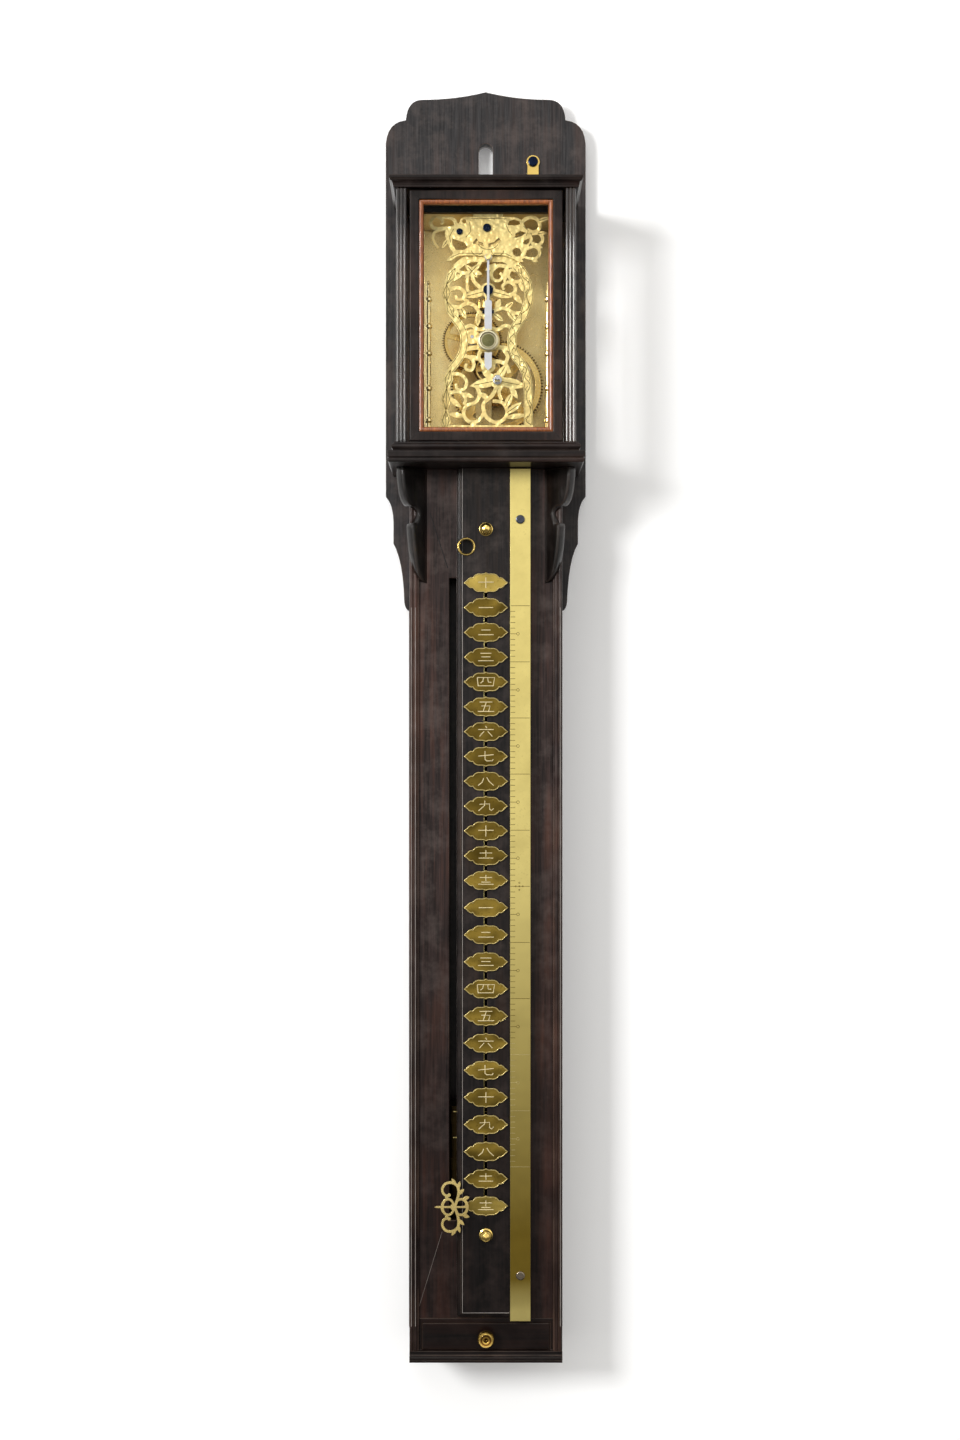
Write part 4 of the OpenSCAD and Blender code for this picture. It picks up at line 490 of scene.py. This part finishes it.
for name, joint_name, arbor_reach, along in WHEELS:
    wheel_brass = brass_finish("cut_brass_" + name, "#f2d384", "#b98d3c", 0.24, stain=0.4,
                               worn="#fdeebb")
    near(wheel_brass, axis_of(joint_name), arbor_reach, BRIGHT_STEEL, along)
    if name in ("great_wheel", "second_wheel", "third_wheel"):
        # Painted shade: the ring of teeth beyond their roots is darkened, as shade between the
        # teeth.
        low, high = [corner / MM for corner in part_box(name)]
        root_r = (high.x - low.x) / 2 - TOOTH_DEPTH
        near(wheel_brass, axis_of(joint_name), root_r, TEETH_PAINTED_SHADE, beyond=True)
    if name == "great_wheel":
        wheel_back = (0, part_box(name)[1].y / MM, 0)
        near(wheel_brass, wheel_back, CLICK_DEPTH, BRIGHT_STEEL, along=(0, 1, 0))
    dress(wheel_brass, name)


# Front fret and cock: sawn from brass sheet into scrolling leaves, carved, engraved and gilt. The
# left limb is a chain of lozenges, the right one carries a running leaf between two border lines.
dress(brass_finish("matt_gilt", "#ffea9c", "#f2b955", 0.36, stain=0.35, spot_mm=0.8, worn="#fff0b4",
                   metal=0.42, carved=0.8), "front_fret", "front_cock")
graver_cut = fine_line("graver_cut", "#4d3c16", "#8e7636", grit_mm=1.4, metal=1.0, rough=0.5)


def smooth(points, n=4):
    """A curve through the given points, as the band is drawn in the CAD model."""
    made = []
    for i in range(len(points) - 1):
        a, b = points[max(i - 1, 0)], points[i]
        c, d = points[i + 1], points[min(i + 2, len(points) - 1)]
        for k in range(n):
            t = k / n
            made.append(tuple(b[m] + t * (c[m] - a[m]) / 2
                              + t * t * (2 * a[m] - 5 * b[m] + 4 * c[m] - d[m]) / 2
                              + t ** 3 * (3 * b[m] - a[m] - 3 * c[m] + d[m]) / 2 for m in (0, 1)))
    return made + [points[-1]]


def offset(path, i, reach):
    """The point of a path moved sideways by reach, in mm."""
    a, b = path[max(i - 1, 0)], path[min(i + 1, len(path) - 1)]
    dx, dz = b[0] - a[0], b[1] - a[1]
    size = math.hypot(dx, dz)
    return path[i][0] - dz / size * reach, path[i][1] + dx / size * reach


RIGHT_LIMB = [(15, 93.2), (20, 86.6), (21.9, 77.1), (19.7, 67.8), (15.9, 61.8), (13.2, 56.6),
              (12.9, 50.6), (14.6, 44.6), (18.4, 39.4), (20.8, 33.4), (21.7, 24.8), (21.7, 12),
              (21.7, 7)]
UPPER_CHAIN = [(-17.6, 91.8), (-22.4, 83), (-22.2, 73.8), (-18.4, 64.8)]
LOWER_CHAIN = [(-20.4, 36.8), (-22.4, 27), (-22.8, 15), (-22.8, 4)]
WAIST = [(-18.8, 65.2), (-15.6, 61.4), (-13.2, 56.6), (-12.9, 50.6), (-14.6, 44.6), (-17.8, 40),
         (-20.6, 36.6)]
VEINS = [((0.6, 79.4), (11.6, 76.6)), ((-0.6, 79.4), (-11.6, 76.6)), ((5.4, 31.2), (-7.6, 28.6)),
         ((5, 31), (18.4, 28.4)), ((4.6, 31), (9, 38.4)), ((9.4, 17), (12.2, 23)),
         ((10.4, 13.8), (16.4, 18)), ((-10.4, 88.2), (-6.4, 92.6)), ((-11, 92.4), (-6.6, 87.6)),
         ((-14.6, 69.8), (-12.4, 65.8)), ((-5.5, 67), (-5.6, 62)), ((9.6, 70), (12.8, 72.8)),
         ((10.8, 68.4), (14.4, 63.8)), ((3.4, 66.8), (7.2, 63.8))]
LIMB_BORDER, WAIST_BORDER, LOZENGE_HALF, LEAF_SWING = 1.95, 1.56, 1.8, 1.2
low, high = [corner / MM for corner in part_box("pendulum")]
verge_x, pivot_z = (low.x + high.x) / 2, axis_of("pendulum_swing")[2]
low, high = [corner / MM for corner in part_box("front_fret")]
fret_foot, fret_face = low.z, low.y


def on_fret(points):
    """Points drawn from the foot of the fret's centre line, in the clock's own place."""
    return [(verge_x + x, fret_foot + z) for x, z in points]


borders, leaf_lines = [], []
limb = on_fret(smooth(RIGHT_LIMB, 6))
waist = on_fret(smooth(WAIST, 4))
for side in (-1, 1):
    borders.append([offset(limb, i, side * LIMB_BORDER) for i in range(len(limb))])
    borders.append([offset(waist, i, side * WAIST_BORDER) for i in range(len(waist))])
for chain in (on_fret(UPPER_CHAIN), on_fret(LOWER_CHAIN)):
    for a, b in zip(chain, chain[1:]):
        middle = ((a[0] + b[0]) / 2, (a[1] + b[1]) / 2)
        for side in (-1, 1):
            borders.append([a, offset([a, middle, b], 1, side * LOZENGE_HALF), b])
        borders.append([a, b])
leaf_lines.append([offset(limb, i, LEAF_SWING * math.sin(i * 0.9)) for i in range(len(limb))])
for i in range(2, len(limb) - 3, 4):
    side = 1 if (i // 4) % 2 else -1
    leaf_lines.append([offset(limb, i + step, reach * side)
                       for step, reach in ((0, 0.2), (1, 1.5), (2, 0.9))])
leaf_lines += [on_fret(vein) for vein in VEINS]
line_work("fret_borders", borders, fret_face, graver_cut, "case", width=0.3,
          proud=0.05)
line_work("fret_leaves", leaf_lines, fret_face, graver_cut, "case", width=0.34,
          proud=0.05)


def ring(x, z, r, first=0, last=360, steps=12):
    """Points on an arc of radius r about (x, z), between two angles in degrees."""
    turns = [math.radians(first + (last - first) * i / steps) for i in range(steps + 1)]
    return [(x + r * math.cos(a), z + r * math.sin(a)) for a in turns]


COCK_LINES = [[(-9.4, 20.9), (0, 21.1), (10, 20.9)], ring(-6, 4.4, 3.1, 190, 350),
              ring(5, 4.4, 3.4, 190, 350), ring(0, 11, 6.6, 215, 325),
              [(-10, 19), (-9.4, 14), (-12, 11)], [(9.4, 18), (11, 14.4), (13, 12)],
              [(-18.6, 15.4), (-20.8, 11.4), (-20.2, 8)], [(20.6, 12), (21.6, 14.6), (19, 17)],
              [(27.4, 19.9), (32, 21.3)], [(26.8, 13), (30.6, 13.4)],
              [(-20.4, 0), (-15, 2.4), (-9, 2.4), (-3, 2.2)],
              [(3, 2.4), (9, 2.4), (12.6, 0.6)], [(-22, 9.4), (-24.2, 6)]]
PIN_REACH = 3.4
cock_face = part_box("front_cock")[0].y / MM + PIN_REACH
cock_cuts = [[(verge_x + x, pivot_z + z) for x, z in path] for path in COCK_LINES]
line_work("cock_leaves", cock_cuts, cock_face, graver_cut, "case", width=0.32,
          proud=0.05)


# Pendulum and verge: a flat bar of bright steel hung from a pin, with a turned brass ring round a
# darkened hollow for its bob. The verge's boss and crutch are blued by heat, as the screw heads
# are, but for the two in the rule.


def steel_finish(name, bright, dull, rough):
    """Steel with draw-filed marks along Z, drawn coarse enough to show at 0.4 mm apart."""
    material, tree, out = new_material(name)
    place = put(tree, "TexCoord").outputs["Object"]
    line_place = put(tree, "Mapping", {"Vector": place, "Scale": (1, 1, 0.08)})
    marks = put(tree, "TexNoise", {"Vector": line_place.outputs[0], "Scale": 2400, "Detail": 3})
    cloud = put(tree, "TexNoise", {"Vector": place, "Scale": 180, "Detail": 3})
    tone = put(tree, "Mix", {0: cloud.outputs["Fac"], 6: linear(bright), 7: linear(dull)},
               data_type="RGBA")
    gloss = put(tree, "MapRange", {"Value": marks.outputs["Fac"], "To Min": rough - 0.06,
                                   "To Max": rough + 0.1})
    relief = put(tree, "Bump", {"Height": marks.outputs["Fac"], "Strength": 0.15,
                                "Distance": 0.05 * MM})
    shine = put(tree, "BsdfPrincipled", {"Base Color": tone.outputs[2], "Metallic": 1.0,
                                         "Roughness": gloss.outputs[0],
                                         "Normal": relief.outputs[0]})
    tree.links.new(shine.outputs[0], out.inputs["Surface"])
    return material


BOB_DROP, BOB_R, HOLLOW_R = 45, 6.45, 3.5
bob = (verge_x, 0, pivot_z - BOB_DROP)
pendulum_steel = steel_finish("bright_steel_pendulum", "#f4f5f8", "#d2d5da", 0.3)
near(pendulum_steel, bob, BOB_R, "#f6ecc4")
near(pendulum_steel, bob, HOLLOW_R, "#75724a")
dress(pendulum_steel, "pendulum")
dress(steel_finish("blued_steel", "#1f2c48", "#0f131f", 0.24), "verge")
RULE_SCREWS = ((-623, 12, "#8f8474"), (-214.7, 8, "#4e525c"))
screw_steel = steel_finish("blued_steel_screws", "#1f2c48", "#0f131f", 0.24)
for screw_z, reach, colour in RULE_SCREWS:
    near(screw_steel, (0, 0, screw_z), reach, colour, along=(0, 0, 1))
dress(screw_steel, "screws")


# Brass fittings: studs and eyelet of the panel, the strap, the pointer and the drawer's knob are
# turned or cut from brass and rubbed bright. The knob's hollow face and small eye are painted as
# shade, a dark ring and a dark centre, and the eyelet's bore is painted near black as shade.
dress(brass_finish("turned_brass", "#f2d27a", "#ab7f2e", 0.18, stain=0.3, sway=0.03),
      "panel_fittings", "hood_strap")
dress(brass_finish("cut_brass_pointer", "#f3d98c", "#b58d40", 0.26, stain=0.3, shade_reach_mm=0.6,
                   metal=0.8), "pointer")
# Painted shade of the knob's hollow face: a dark ring from 2.0 to 2.9 mm and a dark eye within 0.9
# mm.
KNOB_SHADE_RINGS = ((2.9, "#8a5a22"), (2.0, "#efc868"), (0.9, "#2a1a0c"))
knob_brass = brass_finish("turned_brass_knob", "#f2cb6c", "#b5832c", 0.2, stain=0.3, sway=0.03)
low, high = [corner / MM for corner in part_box("drawer_knob")]
knob = ((low.x + high.x) / 2, 0, (low.z + high.z) / 2)
for reach, colour in KNOB_SHADE_RINGS:
    near(knob_brass, knob, reach, colour)
dress(knob_brass, "drawer_knob")
# Painted shade: the wood seen through the eyelet's bore is painted near black.
EYELET, EYELET_BORE = (-10.6, 0, -229.3), 3.9
for finish in (upright_wood, panel_wood, arris_highlight):
    near(finish, EYELET, EYELET_BORE, "#040303")


# Rule: one shaku in ten sun, each with ten bu, cut into the brass with a graver. The long lines
# cross the rule, the short ones start at its left edge, a ring marks the middle of each sun, and
# dots the centre. Painted shade darkens the brass towards its foot, in place of the dimmer
# reflections there, and the cuts show pale over that stretch.
# Painted shade darkens the rule from -400 to -600 mm.
rule_brass = brass_finish("rubbed_brass_rule", "#ead888", "#8a742d", 0.34, stain=0.18,
                          grain=(1, 1, 0.05), sway=0.05, shaded_span=(-400, -600))
dress(rule_brass, "rule")
SUN, FIRST_SUN, SUN_COUNT = 30.3, -261.3, 10
TICK, HALF_TICK, EDGE_GAP, FAR_GAP = 2.7, 3.4, 0.15, 0.4
RING_X, RING_R = 4.2, 0.75
DOT_X, DOT_R, DOT_GAP = 4.9, 0.35, 1.9
PALE_CUTS_Z, PALE_CUTS_REACH = -600, 105
low, high = [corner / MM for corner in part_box("rule")]
rule_face = low.y
rule_cut = fine_line("graver_cut_rule", "#4d3c16", "#8e7636", grit_mm=1.4, metal=1.0, rough=0.5)
near(rule_cut, (0, 0, PALE_CUTS_Z), PALE_CUTS_REACH, "#d6c78e", along=(0, 0, 1))
paths = []
for k in range(SUN_COUNT * 10 + 1):
    z = FIRST_SUN - k * SUN / 10
    reach = high.x - FAR_GAP if k % 10 == 0 else low.x + (HALF_TICK if k % 5 == 0 else TICK)
    paths.append([(low.x + EDGE_GAP, z), (reach, z)])
line_work("rule_lines", paths, rule_face, rule_cut, "case", width=0.26, proud=0.035)
marks = [ring(low.x + RING_X, FIRST_SUN - (k + 0.5) * SUN, RING_R, last=330, steps=11)
         for k in range(SUN_COUNT)]
centre_x, centre_z = low.x + DOT_X, FIRST_SUN - SUN_COUNT / 2 * SUN
for dx, dz in ((0, 0), (DOT_GAP, 0), (-DOT_GAP, 0), (0, DOT_GAP), (0, -DOT_GAP)):
    marks.append(ring(centre_x + dx, centre_z + dz, DOT_R, last=315, steps=7))
line_work("rule_rings", marks, rule_face, rule_cut, "case", width=0.24, proud=0.035,
          closed=True)


# Hour plates: sawn from brass sheet with a cusped edge, filed to a bright rim, and engraved with
# the hour in plain numerals filled with a pale wax. They are olive, the upper ones darkest and the
# two end ones palest.
olive_brass = brass_finish("dark_olive_brass_plate", "#7b662a", "#443612", 0.3, stain=0.6, spot_mm=0.9,
                           worn="#e6d27c", sway=0.5)
mid_olive_brass = brass_finish("mid_olive_brass_plate", "#9a8138", "#5a4a1b", 0.3, stain=0.55, spot_mm=0.9,
                          worn="#e6d27c", sway=0.5)
pale_brass = brass_finish("pale_brass_plate", "#c8ae5a", "#86702d", 0.3, stain=0.6, spot_mm=0.9,
                          sway=0.5)
rim_brass = brass_finish("filed_brass_rim", "#e6d088", "#a98f45", 0.3, stain=0.35, worn="#fbeab4",
                         metal=0.7)
wax = fine_line("waxed_cut", "#cdb678", "#f3e6bc", grit_mm=0.5, metal=0.0, rough=0.45)


def curve(p, q, r, n):
    """Points on a quadratic curve, as the plates' outline is drawn in the CAD model."""
    return [tuple((1 - t) ** 2 * p[m] + 2 * t * (1 - t) * q[m] + t * t * r[m] for m in (0, 1))
            for t in (i / n for i in range(n + 1))]


quarter = (curve((12.1, 0), (10.9, 0.7), (9.4, 2.4), 4)[:-1]
           + curve((9.4, 2.4), (8.3, 3.3), (7.3, 2.7), 3)[:-1]
           + curve((7.3, 2.7), (5.9, 5.3), (3.2, 5), 5)[:-1]
           + curve((3.2, 5), (0.9, 4.75), (0, 5.65), 3))
upper_edge = quarter + [(-x, z) for x, z in quarter[-2::-1]]
plate_edge = upper_edge + [(x, -z) for x, z in upper_edge[-2:0:-1]]

ONE = [[(-0.8, 0), (0.8, 0)]]
TWO = [[(-0.5, 0.4), (0.5, 0.4)], [(-0.85, -0.4), (0.85, -0.4)]]
THREE = [[(-0.6, 0.65), (0.6, 0.65)], [(-0.5, 0.05), (0.5, 0.05)], [(-0.85, -0.6), (0.85, -0.6)]]
FOUR = [[(-0.95, 0.75), (-0.85, -0.7)], [(-0.95, 0.75), (0.95, 0.75), (0.8, -0.7)],
        [(-0.25, 0.75), (-0.35, 0.1), (-0.6, -0.2)], [(0.2, 0.75), (0.25, 0.0), (0.6, -0.05)],
        [(-0.85, -0.65), (0.8, -0.65)]]
FIVE = [[(-0.7, 0.8), (0.7, 0.8)], [(0.05, 0.8), (-0.3, -0.75)],
        [(-0.5, 0.15), (0.45, 0.15), (0.3, -0.75)], [(-0.9, -0.78), (0.9, -0.78)]]
SIX = [[(-0.05, 0.95), (0.1, 0.6)], [(-0.85, 0.35), (0.85, 0.35)], [(-0.2, 0.05), (-0.7, -0.8)],
       [(0.2, 0.05), (0.7, -0.8)]]
SEVEN = [[(-0.85, 0.05), (0.85, 0.3)],
         [(-0.1, 0.9), (-0.1, -0.5), (0.1, -0.75), (0.7, -0.75), (0.8, -0.45)]]
EIGHT = [[(-0.25, 0.5), (-0.4, -0.15), (-0.85, -0.7)], [(0.1, 0.65), (0.35, 0.0), (0.85, -0.7)]]
NINE = [[(-0.1, 0.9), (-0.15, 0.1), (-0.8, -0.8)],
        [(-0.7, 0.3), (0.4, 0.38), (0.4, -0.5), (0.6, -0.75), (0.85, -0.4)]]
TEN = [[(-0.85, 0.1), (0.85, 0.1)], [(0, 0.9), (0, -0.9)]]


def over(upper, lower, share):
    """Two numerals written one over the other; the upper one takes share of the height."""
    return ([[(x * 0.8, 1 - share + z * share) for x, z in stroke] for stroke in upper]
            + [[(x, share - 1 + z * (1 - share)) for x, z in stroke] for stroke in lower])


ELEVEN = over(TEN, ONE, 0.6)
TWELVE = over(TEN, TWO, 0.55)
HOURS = [TEN, ONE, TWO, THREE, FOUR, FIVE, SIX, SEVEN, EIGHT, NINE, TEN, ELEVEN, TWELVE,
         ONE, TWO, THREE, FOUR, FIVE, SIX, SEVEN, TEN, NINE, EIGHT, ELEVEN, TWELVE]
NUMERAL_W, NUMERAL_H = 4.9, 3.2
RIM_SHARE_X, RIM_SHARE_Z = 0.968, 0.94
FIRST_MID_OLIVE = 12
for i, strokes in enumerate(HOURS):
    body = "hour_%02d" % (i + 1)
    if i in (0, len(HOURS) - 1):
        plate_brass = pale_brass
    else:
        plate_brass = mid_olive_brass if i >= FIRST_MID_OLIVE else olive_brass
    dress(plate_brass, body)
    low, high = [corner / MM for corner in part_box(body)]
    x0, z0, face = (low.x + high.x) / 2, (low.z + high.z) / 2, low.y
    rim = [(x0 + x * RIM_SHARE_X, z0 + z * RIM_SHARE_Z) for x, z in plate_edge]
    line_work(body + "_rim", [rim], face, rim_brass, body, width=0.62, proud=0.12,
              closed=True)
    cuts = [[(x0 + x * NUMERAL_W, z0 + z * NUMERAL_H) for x, z in stroke] for stroke in strokes]
    line_work(body + "_numeral", cuts, face, wax, body, width=0.52, proud=0.06)

# A thin brass strip lines the left edge of the slit that the hour plates slide in.
STRIP_X, STRIP_END_GAP = -1.0, 2
panel_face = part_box("hour_panel")[0].y / MM
top_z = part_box("hour_01")[1].z / MM - STRIP_END_GAP
foot_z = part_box("hour_25")[0].z / MM + STRIP_END_GAP
line_work("slit_strip", [[(STRIP_X, foot_z), (STRIP_X, top_z)]], panel_face, rule_brass, "case",
          width=0.36, proud=0.1)


# Weight: a cast block inside the trunk, gone nearly black, with two bright brass bands near its
# head that show through the pointer's slot.
dress(brass_finish("blackened_brass_weight", "#4a3c22", "#241d12", 0.5, stain=0.6, worn="#6d5a30"),
      "weight")
WEIGHT_HEIGHT, WEIGHT_HALF_DEPTH = 63, 10
BAND_HALF, BAND_DROPS = 17, (3, 17.2)
cord_low, cord_high = [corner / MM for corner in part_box("weight_cord")]
weight_face = (cord_low.y + cord_high.y) / 2 - WEIGHT_HALF_DEPTH
weight_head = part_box("weight")[0].z / MM + WEIGHT_HEIGHT
bands = [[(cord_low.x + side * BAND_HALF, weight_head - drop) for side in (-1, 1)]
         for drop in BAND_DROPS]
line_work("weight_bands", bands, weight_face, rim_brass, "weight", width=1.0, proud=0.4)


# Weight cord: a three-strand silk cord, wound on the drum and hanging straight down inside the
# trunk to the ring on the weight. Its fibres are drawn 0.3 mm wide, coarse enough to show.
silk, tree, out = new_material("twisted_silk")
fibre = put(tree, "TexNoise", {"Vector": put(tree, "TexCoord").outputs["Object"], "Scale": 3000,
                               "Detail": 2})
tone = put(tree, "Mix", {0: fibre.outputs["Fac"], 6: linear("#4a3420"), 7: linear("#8a6a44")},
           data_type="RGBA")
fuzz = put(tree, "Bump", {"Height": fibre.outputs["Fac"], "Strength": 0.4, "Distance": 0.05 * MM})
thread = put(tree, "BsdfPrincipled", {"Base Color": tone.outputs[2], "Roughness": 0.6,
                                      "Sheen Weight": 0.4, "Normal": fuzz.outputs[0]})
tree.links.new(thread.outputs[0], out.inputs["Surface"])

STRANDS, STRAND_SHARE, LAY, STEPS = 3, 0.46, 3.2 * MM, 460
low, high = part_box("weight_cord")
cord_centre = (low + high) / 2
cord_r = (high.x - low.x) / 2
strand_r = cord_r * STRAND_SHARE
twist_r = cord_r - strand_r
strands = bpy.data.curves.new("weight_cord_twist", "CURVE")
strands.dimensions = "3D"
strands.bevel_depth = strand_r
strands.bevel_resolution = 0
strands.use_fill_caps = True
for strand in range(STRANDS):
    spline = strands.splines.new("POLY")
    spline.points.add(STEPS)
    for i, point in enumerate(spline.points):
        z = low.z + (high.z - low.z) * i / STEPS
        turn = 2 * math.pi * (z / LAY + strand / STRANDS)
        point.co = (cord_centre.x + twist_r * math.cos(turn),
                    cord_centre.y + twist_r * math.sin(turn), z, 1)
cord = bpy.data.objects.new("weight_cord_twist", strands)
bpy.context.collection.objects.link(cord)
bpy.ops.object.select_all(action="DESELECT")
cord.select_set(True)
bpy.context.view_layer.objects.active = cord
bpy.ops.object.convert(target="MESH")
cord = bpy.context.object
cord.data.materials.append(silk)
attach(cord, "case")
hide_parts("weight_cord")
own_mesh(cord)
